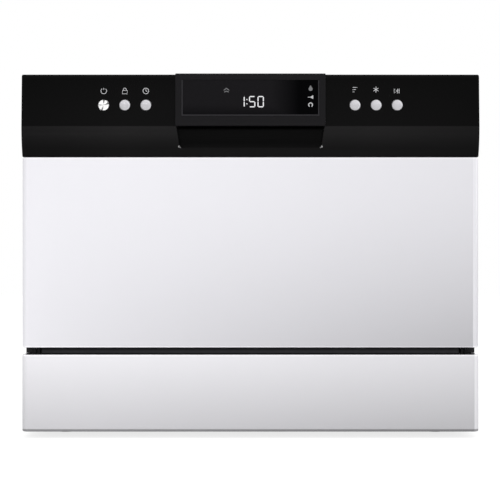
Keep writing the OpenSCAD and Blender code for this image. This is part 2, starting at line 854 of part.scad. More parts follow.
module rack() {
    side_lean = atan2(rim_x - rack_x, rim_z - rack_floor);
    front_lean = atan2(rack_front - rim_front, rim_z - rack_floor);
    rear_lean = atan2(rim_rear - rack_rear, rim_z - rack_floor);
    rise = rim_z - rack_floor - wire - 0.2;
    low = rack_floor + wire + 0.1;
    depth = rack_rear - rack_front;
    color("#8f9296") {
        translate([-rack_x, rack_front, rack_floor]) wire_grid([2 * rack_x, depth], 14, 10, wire);
        both_sides() rack_wall([rack_x + 1.5, rack_front, low], 90, side_lean,
            [depth + 10, rise / cos(side_lean)], 12, rack_front - rim_front);
        rack_wall([-rack_x, rack_front, low], 0, front_lean, [2 * rack_x, rise / cos(front_lean)], 14);
        rack_wall([rack_x, rack_rear, low], 180, rear_lean, [2 * rack_x, rise / cos(rear_lean)], 14);
        for (x = [-190, -130, -70, -10], i = [0 : 7])
            rod_z(wire / 2, low, low + 52, x, rack_front + 40 + 32 * i, $fn = 8);
    }
}

// Moulded pieces on the rack's rim: four wheel carriers and four clips for the cup shelves
module rack_fittings() {
    color("#d2d3d5") both_sides() {
        for (y = [mid_axle_y, rear_axle_y]) {
            block([rim_x + 6, y - 13, rail_z - 12], [rail_in - 4, y + 13, rim_z + 3]);
            block([rim_x - 4, y - 13, rim_z + 0.4], [rail_in - 4, y + 13, rim_z + 3]);
            rod_x(2.5, rail_in - 5, tub_x - 2, y, rail_z);
        }
        for (y = shelf_clips) difference() {
            union() {
                block([rim_x - 5, y - 5, rim_z + 0.4], [rim_x + 9, y + 5, shelf_z + 4]);
                block([rim_x + 6, y - 5, rim_z - 8], [rim_x + 9, y + 5, rim_z + 1]);
            }
            rod_y(shelf_rod_r + run_gap, y - 6, y + 6, rim_x, shelf_z);
        }
    }
}

module wheel_pair(y) {
    color("#e1e1e2") both_sides() difference() {
        rod_x(wheel_r, rail_in + 1.5, rail_in + 7.5, y, rail_z);
        rod_x(2.5 + run_gap, rail_in, rail_in + 9, y, rail_z);
        for (i = [0 : 4]) translate([0, y, rail_z]) rotate([72 * i, 0, 0])
            rod_x(1.2, rail_in, rail_in + 9, 5.2, 0);
    }
}

module cup_shelf() {
    inner = rim_x - shelf_w;
    low = shelf_z - 1.5;
    bar_y = [shelf_front, -78, -44, -10, 24, 58, 92, shelf_rear - 3];
    color("#8f9296") {
        rod_y(shelf_rod_r, shelf_front, shelf_rear, rim_x, shelf_z);
        for (y = bar_y) block([inner, y, low], [rim_x, y + 3, low + 3]);
        for (x = [inner, inner + 32, inner + 64])
            block([x, shelf_front, low], [x + 3, shelf_rear, low + 3]);
    }
}

module cup_shelf_right() {
    cup_shelf();
}

module cup_shelf_left() {
    mirror([1, 0, 0]) cup_shelf();
}

module cutlery_basket() {
    lo = [45, -120, rack_floor + wire + 0.4];
    hi = [122, 60, 300];
    wall = 2;
    mid_x = (lo.x + hi.x) / 2;
    mid_y = (lo.y + hi.y) / 2;
    cell = (hi.y - lo.y - wall) / 3;
    grip = 2;
    grip_w = 34;
    slot = 3;
    slot_pitch = 9.2;
    slot_edge = 4.2;
    color("#b9bbbe") {
        difference() {
            block(lo, hi);
            for (x = [lo.x + wall, mid_x + wall / 2], i = [0 : 2]) {
                y = lo.y + wall + cell * i;
                block([x, y, lo.z + wall], [x + (hi.x - lo.x - 3 * wall) / 2, y + cell - wall, hi.z + 1]);
            }
            for (x = [lo.x, hi.x - wall], i = [0 : 2], j = [0 : 5], k = [0 : 2]) {
                y = lo.y + wall + cell * i + slot_edge + slot_pitch * j;
                z = lo.z + 10 + 34 * k;
                block([x - 1, y, z], [x + wall + 1, y + slot, z + 26]);
            }
            for (i = [0 : 2], j = [0 : 5]) {
                y = lo.y + wall + cell * i + slot_edge + slot_pitch * j;
                block([lo.x + 8, y, lo.z - 1], [hi.x - 8, y + slot, lo.z + wall + 1]);
            }
        }
        difference() {
            block([mid_x - grip, mid_y - grip_w, hi.z - 1], [mid_x + grip, mid_y + grip_w, hi.z + 27]);
            block([mid_x - 2 * grip, mid_y - grip_w + 7, hi.z + 3], [mid_x + 2 * grip, mid_y + grip_w - 7, hi.z + 20]);
        }
    }
}

places = button_places();

base_tray();
kick_plate();
sill_bar();
left_side_panel();
right_side_panel();
top_cover();
rear_panel();
cabinet_screws();
tub();
door_seal();
rack_rails();
sump();
filter_plate();
wash_pump();
drain_pump();
flow_heater();
inlet_valve();
inlet_pipe();
air_break();
drain_pipe();
drain_spigot();
cord_gland();
power_board();
hinge_brackets();
door_springs();
latch_keeper();
door_skin();
control_panel();
door_liner();
display_bezel();
display_window();
control_board();
hinge_arms();
sill_seal();
dispenser_housing();
latch_housing();
dispenser_lid();
rinse_aid_cap();
latch_hook();
button(places[2]);  // power_button
button(places[1]);  // lock_button
button(places[0]);  // delay_button
button(places[3]);  // program_button
button(places[4]);  // function_button
button(places[5]);  // start_button
rack();
rack_fittings();
wheel_pair(mid_axle_y);  // rack_wheels_mid
wheel_pair(rear_axle_y);  // rack_wheels_rear
cup_shelf_left();
cup_shelf_right();
cutlery_basket();
spray_arm();
filter_cylinder();
leak_float();
wash_impeller();
foot([-foot_x, foot_front]);  // foot_front_left
foot([foot_x, foot_front]);  // foot_front_right
foot([-foot_x, foot_rear]);  // foot_rear_left
foot([foot_x, foot_rear]);  // foot_rear_right
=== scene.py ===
"""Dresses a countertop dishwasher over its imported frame: sheets, panel, wires, fittings and finishes.

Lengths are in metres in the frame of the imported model: +Z is up, the front faces -Y, and the origin
is on the floor under the middle of the machine.
"""
import json
import logging
import math
from collections.abc import Iterable, Sequence
from dataclasses import dataclass, replace
from enum import Enum

import bmesh
import bpy
from mathutils import Matrix, Quaternion, Vector

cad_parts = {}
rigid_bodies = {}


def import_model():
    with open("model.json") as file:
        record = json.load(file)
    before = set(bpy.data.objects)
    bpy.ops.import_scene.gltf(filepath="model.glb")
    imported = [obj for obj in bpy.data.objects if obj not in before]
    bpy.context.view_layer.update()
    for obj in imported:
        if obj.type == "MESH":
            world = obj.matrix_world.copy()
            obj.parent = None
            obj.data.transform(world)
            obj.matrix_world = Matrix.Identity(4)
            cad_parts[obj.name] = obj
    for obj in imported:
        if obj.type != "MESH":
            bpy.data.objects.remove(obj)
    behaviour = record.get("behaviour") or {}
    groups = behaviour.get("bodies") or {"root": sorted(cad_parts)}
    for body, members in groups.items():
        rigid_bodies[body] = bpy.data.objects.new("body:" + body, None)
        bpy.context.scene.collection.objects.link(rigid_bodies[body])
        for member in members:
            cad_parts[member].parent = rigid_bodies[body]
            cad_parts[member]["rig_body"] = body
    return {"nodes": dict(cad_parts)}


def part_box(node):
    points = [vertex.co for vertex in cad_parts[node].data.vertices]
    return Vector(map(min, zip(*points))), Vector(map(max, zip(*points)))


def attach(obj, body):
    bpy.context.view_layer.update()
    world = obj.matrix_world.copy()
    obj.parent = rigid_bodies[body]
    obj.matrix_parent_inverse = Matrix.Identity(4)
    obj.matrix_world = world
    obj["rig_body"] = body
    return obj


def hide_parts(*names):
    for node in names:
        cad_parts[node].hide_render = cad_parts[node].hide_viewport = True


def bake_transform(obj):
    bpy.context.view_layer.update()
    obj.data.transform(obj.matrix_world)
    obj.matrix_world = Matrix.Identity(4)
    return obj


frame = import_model()

Pair = tuple[float, float]
Triple = tuple[float, float, float]
Opening = tuple[Pair, Pair]
Box = tuple[Triple, Triple]
Points = Sequence[Sequence[float]]
Socket = bpy.types.NodeSocket
Edge = bmesh.types.BMEdge
Vert = bmesh.types.BMVert
MM = 0.001
MERGE = 0.002 * MM
HAIR = 0.02 * MM
LEVEL = 0.05 * MM
FLAT = math.radians(0.6)
SHARP = math.radians(33)
LATCH_SLOT = ((-10 * MM, 423 * MM), (10 * MM, 432.5 * MM))
log = logging.getLogger("dishwasher")


class Axis(Enum):
    """A direction of the frame that an outline is carried along."""

    X = (1, 0, 0)
    Y = (0, 1, 0)

    def point(self, across: Pair, depth: float) -> Vector:
        """Places a point by its two coordinates across the axis and the one along it."""
        return Vector((depth, *across) if self is Axis.X else (across[0], depth, across[1]))


class Side(Enum):
    """One hand of the machine, seen from its front."""

    LEFT = -1
    RIGHT = 1


class Keep(Enum):
    """What is kept of two forms that meet."""

    BOTH = "UNION"
    REST = "DIFFERENCE"
    SHARED = "INTERSECT"


def mm(*sizes: float) -> tuple[float, ...]:
    """Turns millimetres into metres."""
    return tuple(size * MM for size in sizes)


def flat(*points: Pair) -> list[Pair]:
    """Turns the points of an outline from millimetres into metres."""
    return [mm(*point) for point in points]


def linear(channel: float) -> float:
    """Turns one display channel, from 0 to 255, into scene light."""
    share = channel / 255
    return share / 12.92 if share <= 0.04045 else ((share + 0.055) / 1.055) ** 2.4


class Nodes:
    """The node tree of a material or of the world."""

    def __init__(self, owner: bpy.types.ID) -> None:
        """Empties a tree.

        Args:
            owner: The material or the world that has it.
        """
        owner.use_nodes = True
        self.owner = owner
        self.tree = owner.node_tree
        self.tree.nodes.clear()

    def add(self, kind: str, inputs: dict | None = None, **settings: object) -> bpy.types.Node:
        """Adds a node.

        Args:
            kind: Its type, without the word ShaderNode.
            inputs: A value or another node's output for each named or numbered input.
            **settings: Its own properties.

        Returns:
            The node.
        """
        node = self.tree.nodes.new("ShaderNode" + kind)
        for key, value in settings.items():
            setattr(node, key, value)
        for key, value in (inputs or {}).items():
            if isinstance(value, Socket):
                self.tree.links.new(value, node.inputs[key])
            else:
                node.inputs[key].default_value = value
        return node

    def place(self, scale: Triple = (1, 1, 1), centre: Triple = (0, 0, 0)) -> Socket:
        """Gives object coordinates, moved to a centre and then multiplied by a scale."""
        move = tuple(-c * s for c, s in zip(centre, scale))
        return self.add("Mapping", {
            "Vector": self.add("TexCoord").outputs["Object"], "Scale": scale, "Location": move}).outputs[0]

    def axes(self, scale: Triple = (1, 1, 1), centre: Triple = (0, 0, 0)) -> Sequence[Socket]:
        """Gives the same coordinates one by one."""
        return self.add("SeparateXYZ", {0: self.place(scale, centre)}).outputs

    def noise(self, vector: Socket, scale: float, detail: float) -> Socket:
        """Gives a noise between 0 and 1, with its waves in a metre and its octaves."""
        return self.add("TexNoise", {"Vector": vector, "Scale": scale, "Detail": detail}).outputs[0]

    def band(self, value: Socket, low: float, high: float, start: float = 0.0, end: float = 1.0) -> Socket:
        """Maps a value from the range start to end to the range low to high, and holds it at the ends."""
        return self.add("MapRange", {
            "Value": value, "From Min": start, "From Max": end, "To Min": low, "To Max": high}).outputs[0]

    def mix(self, share: Socket, first: Socket, second: Socket) -> Socket:
        """Mixes two colours by the share of the second one."""
        return self.add("Mix", {0: share, 6: first, 7: second}, data_type="RGBA").outputs[2]

    def tone(self, factor: Socket, color: Socket | tuple[float, ...]) -> Socket:
        """Makes a colour lighter or darker by a factor."""
        return self.add("HueSaturation", {"Value": factor, "Color": color}).outputs[0]

    def math(self, operation: str, *values: object) -> Socket:
        """Works out one sum of numbers or outputs."""
        return self.add("Math", dict(enumerate(values)), operation=operation).outputs[0]

    def squares(self, first: Socket, second: Socket) -> Socket:
        """Gives the sum of the squares of two values."""
        return self.math("MULTIPLY_ADD", first, first, self.math("MULTIPLY", second, second))

    def ramp(self, value: Socket, stops: Sequence[tuple[float, Triple]]) -> Socket:
        """Turns a value into a colour.

        Args:
            value: The value, from 0 to 1.
            stops: Places from 0 to 1, each with its colour as scene light.

        Returns:
            The colour.
        """
        node = self.add("ValToRGB", {0: value})
        elements = node.color_ramp.elements
        elements.remove(elements[1])
        for number, (place, color) in enumerate(stops):
            stop = elements.new(place) if number else elements[0]
            stop.position = place
            stop.color = (*color, 1)
        return node.outputs[0]

    def finish(self, shader: Socket) -> bpy.types.Material:
        """Joins a shader to the material's output and gives the material."""
        self.add("OutputMaterial", {"Surface": shader})
        return self.owner


@dataclass(frozen=True)
class Finish:
    """A surface finish with a fine texture of its own.

    Attributes:
        name, slot: Name of the material and the record's slot, or no slot for print and light; the slot is
            not used.
        color: Colour in display channels from 0 to 255.
        roughness, metallic, specular: The shader's own, where a specular of 0.5 is usual.
        fleck, fleck_scale: Share by which the colour wanders, and the waves of that in a metre.
        grain, grain_scale: Depth of the grain, and the grains in a metre.
        stretch: Factor on the grain along each axis; a small one draws it out.
        gloss_spread: How much the roughness wanders.
    """

    name: str
    slot: str
    color: Triple
    roughness: float
    metallic: float = 0.0
    specular: float = 0.5
    fleck: float = 0.04
    fleck_scale: float = 14.0
    grain: float = 0.01 * MM
    grain_scale: float = 1400.0
    stretch: Triple = (1, 1, 1)
    gloss_spread: float = 0.04

    def shade(self, factor: float = 1.0) -> Triple:
        """Gives the finish's colour as scene light, made lighter or darker by a factor."""
        return tuple(min(1.0, linear(c) * factor) for c in self.color)

    def tint(self, nodes: Nodes) -> Socket:
        """Gives the colour over the surface."""
        wander = nodes.noise(nodes.place(self.stretch), self.fleck_scale, 4)
        return nodes.ramp(wander, [(0.25, self.shade(1 - self.fleck)), (0.75, self.shade(1 + self.fleck))])

    def relief(self, nodes: Nodes) -> Socket:
        """Gives the height of the grain, from 0 to 1."""
        return nodes.noise(nodes.place(self.stretch), self.grain_scale, 2)

    def shader(self, nodes: Nodes) -> Socket:
        """Joins the colour, the gloss and the grain.

        Args:
            nodes: The material's tree.

        Returns:
            The shader.
        """
        smear = nodes.noise(nodes.place(self.stretch), self.fleck_scale * 3, 3)
        low, high = self.roughness - self.gloss_spread, self.roughness + self.gloss_spread
        bump = nodes.add("Bump", {"Strength": 1.0, "Distance": self.grain, "Height": self.relief(nodes)})
        gloss = nodes.band(smear, max(0.02, low), min(1.0, high))
        return nodes.add("BsdfPrincipled", {
            "Base Color": self.tint(nodes), "Metallic": self.metallic, "Specular IOR Level": self.specular,
            "Roughness": gloss, "Normal": bump.outputs[0]}).outputs[0]

    def material(self) -> bpy.types.Material:
        """Makes the material, or finds it where it has been made before.

        Returns:
            The material.
        """
        made = bpy.data.materials.get(self.name)
        if made is None:
            nodes = Nodes(bpy.data.materials.new(self.name))
            made = nodes.finish(self.shader(nodes))
        return made


@dataclass(frozen=True)
class SheetPaintWithPaintedLight(Finish):
    """Satin silver paint with painted shade that deepens from the upper left of its sheet to the lower
    right, and painted highlights and shade on its rolled edges.

    Attributes:
        reach: Lowest and highest corner of the sheet, as X and Z.
        painted_shade_losses: Shares of the tone taken off as painted shade towards the right, the foot and
            the lower right.
        strip, painted_shade_share_at_strip: X of the rounded right end, and the share of the painted shade
            that it keeps, which paints a highlight there.
        foot, head: Height of the rolled foot and head, each with the factor on its tone, which paints shade
            or a highlight there.
        soft: Half the width of the change to those tones.
    """

    metallic: float = 0.25
    fleck: float = 0.004
    grain: float = 0.004 * MM
    grain_scale: float = 3200
    reach: Opening = ((0, 0), (1, 1))
    painted_shade_losses: Triple = (0, 0, 0)
    strip: float = 267.3 * MM
    painted_shade_share_at_strip: float = 0.25
    foot: Pair = (0, 1)
    head: Pair = (1, 1)
    soft: float = 0.5 * MM

    def tint(self, nodes: Nodes) -> Socket:
        """Gives the colour over the sheet, with its painted shade and highlights.

        Args:
            nodes: The material's tree.

        Returns:
            The colour.
        """
        (x0, z0), (x1, z1) = self.reach
        u, _, v = nodes.axes((1 / (x1 - x0), 1, 1 / (z0 - z1)), (x0, 0, z1))
        u, v = nodes.band(u, 0.0, 1.0), nodes.band(v, 0.0, 1.0)
        aslant = nodes.math("MULTIPLY", nodes.math("POWER", u, 0.6), nodes.math("POWER", v, 1.5))
        # Painted shade that grows towards the right, downwards and towards the lower right.
        lost = 0.0
        for share, loss in zip((u, v, aslant), self.painted_shade_losses):
            lost = nodes.math("MULTIPLY_ADD", share, loss, lost)
        x, _, z = nodes.axes()
        # The rounded right end keeps less of that painted shade, which paints a highlight there.
        end = nodes.band(x, 1.0, self.painted_shade_share_at_strip, self.strip, self.strip + 0.7 * MM)
        wander = nodes.noise(nodes.place(self.stretch), self.fleck_scale, 4)
        level = nodes.band(wander, 1 - self.fleck, 1 + self.fleck)
        level = nodes.math("SUBTRACT", level, nodes.math("MULTIPLY", lost, end))
        # Painted shade or painted highlight on the rolled foot and head.
        for edge, low, high in ((self.foot[0], self.foot[1], 1.0), (self.head[0], 1.0, self.head[1])):
            rolled = nodes.band(z, low, high, edge - self.soft, edge + self.soft)
            level = nodes.math("MULTIPLY", level, rolled)
        return nodes.tone(level, (*self.shade(), 1))


@dataclass(frozen=True)
class PanelGlossPaintedLight(Finish):
    """Black gloss with painted reflections that follow the panel's face and its curved band, painted shade
    in its pocket and painted glints at the pocket's corners.

    Attributes:
        tones, pocket: Heights with their tones, in display channels, which paint the reflections and
            highlight on the face and the shade in the pocket.
        pocket_y: Y behind which the pocket's own tones hold.
        mirror: Light that the gloss mirrors, which is taken off each tone.
        cast: Share of a tone that each channel has.
        ends, fade: Share of the tone left at both ends, where the painted reflections fade, and the
            distances between which it is lost.
        uneven: Least and greatest factor on the tone.
        glints, glint: X, Z and radius of the painted glints at the pocket's lower corners, and their light.
    """

    tones: tuple[Pair, ...] = ()
    pocket: tuple[Pair, ...] = ()
    pocket_y: float = -239.5 * MM
    mirror: float = 0.0035
    cast: Triple = (1, 0.96, 0.99)
    ends: float = 0.6
    fade: Pair = (150 * MM, 272 * MM)
    uneven: Pair = (0.82, 1.18)
    glints: Triple = (85.6 * MM, 350.7 * MM, 1.4 * MM)
    glint: float = 0.5

    def column(self, nodes: Nodes, tones: Sequence[Pair]) -> Socket:
        """Gives the painted reflections and shade that follow the height.

        Args:
            nodes: The material's tree.
            tones: Heights with their tones, from the lowest up.

        Returns:
            The colour.
        """
        low, high = tones[0][0], tones[-1][0]
        level = [((z - low) / (high - low), max(linear(tone) - self.mirror, 0.0003)) for z, tone in tones]
        share = nodes.band(nodes.axes()[2], 0.0, 1.0, low, high)
        return nodes.ramp(share, [(place, tuple(v * c for c in self.cast)) for place, v in level])

    def tint(self, nodes: Nodes) -> Socket:
        """Gives the colour over the moulding, with its painted reflections, shade and glints.

        Args:
            nodes: The material's tree.

        Returns:
            The colour.
        """
        x, y, z = nodes.axes()
        aside = nodes.math("ABSOLUTE", x)
        inside = nodes.band(y, 0.0, 1.0, self.pocket_y - 2 * MM, self.pocket_y)
        wander = nodes.band(nodes.noise(nodes.place(), 9, 2), *self.uneven)
        # The painted reflections fade towards both ends.
        level = nodes.math("MULTIPLY", nodes.band(aside, 1.0, self.ends, *self.fade), wander)
        # Painted reflections on the face and band, and painted shade in the pocket.
        both = nodes.mix(inside, self.column(nodes, self.tones), self.column(nodes, self.pocket))
        # Painted glints at the pocket's two lower corners.
        side, high, radius = self.glints
        far = nodes.squares(nodes.math("SUBTRACT", aside, side), nodes.math("SUBTRACT", z, high))
        painted_glint_mask = nodes.band(far, 1.0, 0.0, (radius / 2) ** 2, radius ** 2)
        return nodes.mix(painted_glint_mask, nodes.tone(level, both), nodes.ramp(painted_glint_mask, [(0.0, (self.glint,) * 3)]))


@dataclass(frozen=True)
class SpunCap(Finish):
    """Metal turned on a lathe, with painted dark reflections round its middle and a painted highlight and
    shade across its rim.

    Attributes:
        centre, radius: Middle and radius of the cap.
        glow: Factor on the tone at the upper right of its rim, a painted highlight; the lower left gets the
            inverse, as painted shade.
        border, far: Shares of the radius over which that sets in, and where it is reached.
        streaks: Ends of the dark streaks that paint reflections, as shares of a turn counted from the left.
        dark, blur: Share of the tone left in a streak, and width of the streak's ends.
    """

    metallic: float = 0.9
    centre: Triple = (0, 0, 0)
    radius: float = 6.5 * MM
    glow: float = 1.0
    border: Pair = (0.6, 0.9)
    far: float = 1.4
    streaks: tuple[Pair, ...] = ()
    dark: float = 0.2
    blur: float = 0.01

    def tint(self, nodes: Nodes) -> Socket:
        """Gives the colour over the cap, with its painted reflections, highlight and shade.

        Args:
            nodes: The material's tree.

        Returns:
            The colour.
        """
        x, _, z = nodes.axes(centre=self.centre)
        uneven = nodes.band(nodes.noise(nodes.place(), 420, 2), -0.02, 0.02)
        turn = nodes.band(nodes.math("ARCTAN2", z, x), 0.0, 1.0, -math.pi, math.pi)
        full, dark = self.shade(), self.shade(self.dark)
        # The streaks paint dark reflections round the middle.
        stops = [(0.0, full)]
        for start, end in self.streaks:
            stops += [(start, full), (start + self.blur, dark), (end - self.blur, dark), (end, full)]
        # Painted highlight at the upper right of the rim and painted shade at the lower left.
        reach = nodes.math("SQRT", nodes.squares(x, z))
        border = nodes.band(reach, 0.0, 1.0, *(self.radius * share for share in self.border))
        aslant = nodes.math("DIVIDE", nodes.math("ADD", x, z), self.radius * self.far)
        light = nodes.math("POWER", self.glow, nodes.math("MULTIPLY", aslant, border))
        return nodes.tone(light, nodes.ramp(nodes.math("ADD", turn, uneven), stops))


@dataclass(frozen=True)
class PiercedSheet(Finish):
    """Steel sheet with rows of fine holes, drawn as dents with painted shade in them.

    Attributes:
        pitch, hole: Distance between the holes, and a hole's radius as a share of it.
    """

    pitch: float = 2.4 * MM
    hole: float = 0.27

    def relief(self, nodes: Nodes) -> Socket:
        """Gives 1 on the sheet and 0 in a hole."""
        cells = nodes.add("TexVoronoi", {
            "Vector": nodes.place((1 / self.pitch,) * 3), "Scale": 1.0, "Randomness": 0.0})
        return nodes.math("GREATER_THAN", cells.outputs["Distance"], self.hole)

    def tint(self, nodes: Nodes) -> Socket:
        """Gives the colour over the sheet, with painted shade in each hole."""
        # The holes are painted nearly black, as the shade seen through them.
        return nodes.ramp(self.relief(nodes), [(0.0, self.shade(0.04)), (1.0, self.shade())])


@dataclass(frozen=True)
class CircuitBoard(Finish):
    """Green board with paler tracks.

    Attributes:
        track: Width of a track with its gap.
    """

    track: float = 5 * MM

    def tint(self, nodes: Nodes) -> Socket:
        """Gives the colour over the board."""
        return nodes.add("TexBrick", {
            "Vector": nodes.place((1 / self.track,) * 3), "Scale": 1.0, "Mortar Size": 0.12,
            "Brick Width": 2.6, "Row Height": 0.6, "Color1": (*self.shade(), 1),
            "Color2": (*self.shade(0.8), 1), "Mortar": (*self.shade(2.4), 1)}).outputs[0]


@dataclass(frozen=True)
class SmokedWindow(Finish):
    """Smoked cover, paler towards its left than at its right end and its foot.

    Attributes:
        pale: Colour of the paler part, in display channels.
        edge, fade: X where the pale part has ended, and width of the change.
        low, rise: Height of the window's foot, and of the darker part over it.
        smoke: Share of the dark colour at the foot.
    """

    pale: Triple = (27, 26, 28)
    edge: float = 58 * MM
    fade: float = 34 * MM
    low: float = 388.7 * MM
    rise: float = 12 * MM
    smoke: float = 0.55

    def tint(self, nodes: Nodes) -> Socket:
        """Gives the colour over the window.

        Args:
            nodes: The material's tree.

        Returns:
            The colour.
        """
        x, _, z = nodes.axes()
        across = nodes.band(x, 0.0, 1.0, self.edge - self.fade, self.edge)
        down = nodes.band(z, self.smoke, 0.0, self.low, self.low + self.rise)
        bright = tuple(linear(c) for c in self.pale)
        return nodes.ramp(nodes.math("MAXIMUM", across, down), [(0.0, bright), (1.0, self.shade())])


@dataclass(frozen=True)
class Lit(Finish):
    """A sign that glows behind the window in the colour as it is written."""

    def shader(self, nodes: Nodes) -> Socket:
        """Gives a dark surface that glows."""
        return nodes.add("BsdfPrincipled", {
            "Base Color": (*self.shade(0.04), 1), "Roughness": self.roughness, "Specular IOR Level": 0.1,
            "Emission Color": self.tint(nodes), "Emission Strength": 1.0}).outputs[0]


@dataclass(frozen=True)
class Palette:
    """Every finish of the machine, by the piece or the kind of piece that wears it."""

    # The panel's tones paint its reflections, the highlight along the crease and the shade in the pocket.
    gloss: PanelGlossPaintedLight = PanelGlossPaintedLight(
        "black_gloss_moulding", "black_gloss", (8, 8, 8), 0.14, specular=0.045, grain=0.003 * MM,
        grain_scale=60, gloss_spread=0.02,
        tones=((0.3388, 4), (0.3405, 4), (0.3415, 17), (0.346, 22), (0.350, 25), (0.3555, 28), (0.360, 31),
               (0.366, 34), (0.371, 37), (0.3745, 38), (0.3753, 20), (0.400, 19), (0.425, 17), (0.432, 16),
               (0.436, 21)),
        pocket=((0.349, 26), (0.352, 18), (0.357, 13), (0.365, 16), (0.371, 17), (0.374, 8)))
    bezel: Finish = Finish(
        "satin_black_frame", "bezel_black", (19, 18, 20), 0.38, specular=0.1, fleck=0.06,
        grain=0.008 * MM, grain_scale=2600)
    # A lighter plastic whose strip paints the highlight on the window's edge.
    edge: Finish = Finish(
        "window_edge_plastic", "bezel_black", (50, 49, 52), 0.4, specular=0.12, fleck=0.05,
        grain=0.008 * MM, grain_scale=2600)
    window: SmokedWindow = SmokedWindow(
        "smoked_window", "window_glass", (3, 3, 4), 0.05, specular=0.015, grain=0.001 * MM,
        grain_scale=40, gloss_spread=0.01)
    # The door's paint carries painted shade towards the lower right and painted highlights on its rolled
    # foot and head.
    door: SheetPaintWithPaintedLight = SheetPaintWithPaintedLight(
        "silver_door_paint", "silver_paint", (246, 245, 250), 0.42,
        reach=((-0.2745, 0.109), (0.2745, 0.338)), painted_shade_losses=(0.0955, -0.0482, 0.3683),
        foot=(110.8 * MM, 1.35), head=(335.8 * MM, 1.16))
    # The kick plate's paint carries painted shade downwards and to the right, a painted highlight on its
    # rolled head and painted shade on its rolled foot.
    kick: SheetPaintWithPaintedLight = SheetPaintWithPaintedLight(
        "silver_kick_paint", "silver_paint", (249, 248, 252), 0.42,
        reach=((-0.275, 0.008), (0.275, 0.1005)), painted_shade_losses=(0.16, 0.258, 0.02), strip=269 * MM,
        foot=(11.1 * MM, 0.42), head=(98.9 * MM, 1.3))
    # The sill's tone is painted lighter towards its foot and painted almost black below it, as the light and
    # shade in the gap under the door.
    sill: SheetPaintWithPaintedLight = SheetPaintWithPaintedLight(
        "sill_black_plastic", "dark_plastic", (36, 36, 38), 0.6, metallic=0.0, specular=0.2, fleck=0.06,
        fleck_scale=40, grain=0.03 * MM, grain_scale=1500, reach=((-0.256, 0.1033), (0.256, 0.1068)),
        painted_shade_losses=(0, -2.4, 0), strip=1.0, foot=(101.1 * MM, 0.06))
    cabinet: Finish = Finish(
        "cabinet_paint_light", "cabinet_paint", (218, 218, 221), 0.46, fleck=0.012, grain=0.02 * MM,
        grain_scale=900)
    zinc: Finish = Finish(
        "zinc_plated_sheet", "zinc_steel", (186, 187, 192), 0.42, metallic=1.0, fleck=0.1, fleck_scale=60,
        grain=0.006 * MM, grain_scale=500, gloss_spread=0.1)
    steel: Finish = Finish(
        "brushed_tub_steel", "stainless", (205, 206, 210), 0.3, metallic=1.0, fleck=0.05, fleck_scale=300,
        grain=0.006 * MM, grain_scale=2600, stretch=(0.02, 1, 1), gloss_spread=0.06)
    # The filter's holes carry painted shade.
    sieve: PiercedSheet = PiercedSheet(
        "pierced_filter_steel", "stainless", (198, 199, 203), 0.34, metallic=1.0, grain=0.15 * MM)
    screws: Finish = Finish(
        "plated_screw_steel", "screw_steel", (192, 193, 197), 0.3, metallic=1.0, fleck=0.06,
        fleck_scale=700, grain=0.006 * MM, grain_scale=2500, gloss_spread=0.08)
    coated: Finish = Finish(
        "black_coated_steel", "black_steel", (40, 40, 42), 0.5, specular=0.25, fleck=0.08, fleck_scale=80,
        grain=0.015 * MM, grain_scale=1600)
    rubber: Finish = Finish(
        "door_seal_rubber", "grey_rubber", (74, 75, 78), 0.75, specular=0.3, fleck=0.08, fleck_scale=120,
        grain=0.03 * MM, grain_scale=1800)
    dark: Finish = Finish(
        "dark_moulded_plastic", "dark_plastic", (44, 44, 46), 0.52, specular=0.3, fleck=0.06,
        fleck_scale=40, grain=0.03 * MM, grain_scale=1500)
    grey: Finish = Finish(
        "grey_moulded_plastic", "grey_plastic", (142, 143, 147), 0.45, fleck=0.03, fleck_scale=30,
        grain=0.025 * MM, grain_scale=1300)
    white: Finish = Finish(
        "white_moulded_plastic", "white_plastic", (230, 230, 226), 0.4, fleck=0.02, fleck_scale=25,
        grain=0.02 * MM, grain_scale=1200)
    light: Finish = Finish(
        "light_grey_plastic", "light_plastic", (206, 207, 210), 0.36, fleck=0.02, fleck_scale=25,
        grain=0.02 * MM, grain_scale=1300)
    amber: Finish = Finish(
        "amber_impeller_plastic", "impeller_plastic", (205, 181, 104), 0.42, fleck_scale=50, grain=0.02 * MM)
    nylon: Finish = Finish(
        "nylon_coated_wire", "coated_wire", (160, 163, 167), 0.5, fleck=0.05, fleck_scale=90,
        grain=0.03 * MM, grain_scale=1100)
    board: CircuitBoard = CircuitBoard("circuit_board", "board_green", (30, 92, 56), 0.4)
    digits: Lit = Lit("display_digits_light", "", (238, 238, 240), 0.5)
    dim: Lit = Lit("display_signs_light", "", (190, 190, 192), 0.5)
    faint: Lit = Lit("display_faint_light", "", (118, 118, 120), 0.5)
    ink: Finish = Finish("printed_panel_signs", "", (214, 214, 216), 0.6, specular=0.1, fleck=0.05)
    # The power cap's streaks paint its dark reflections.
    power: SpunCap = SpunCap(
        "spun_power_cap", "bright_metal", (252, 252, 252), 0.16, grain=0.003 * MM,
        streaks=((0.01, 0.04), (0.17, 0.23), (0.52, 0.6), (0.7, 0.78), (0.96, 0.99)))
    # The satin caps' glow paints a highlight at the upper right of the rim and shade at the lower left.
    satin: SpunCap = SpunCap(
        "satin_cap", "satin_metal", (200, 199, 203), 0.34, grain=0.004 * MM, grain_scale=3000,
        gloss_spread=0.06, glow=1.35)

    def cap(self, name: str, centre: Triple, radius: float) -> SpunCap:
        """Gives the finish of one button: satin with a painted highlight and shade on its rim, or bright
        with painted dark reflections on the power button.

        Args:
            name: Name of the button.
            centre: Middle of its cap.
            radius: Radius of its cap.

        Returns:
            The finish.
        """
        if name == "power":
            return replace(self.power, centre=centre, radius=radius)
        return replace(self.satin, name=f"satin_{name}_cap", centre=centre, radius=radius)


PALETTE = Palette()
Soft = tuple[Finish, float, int, str]


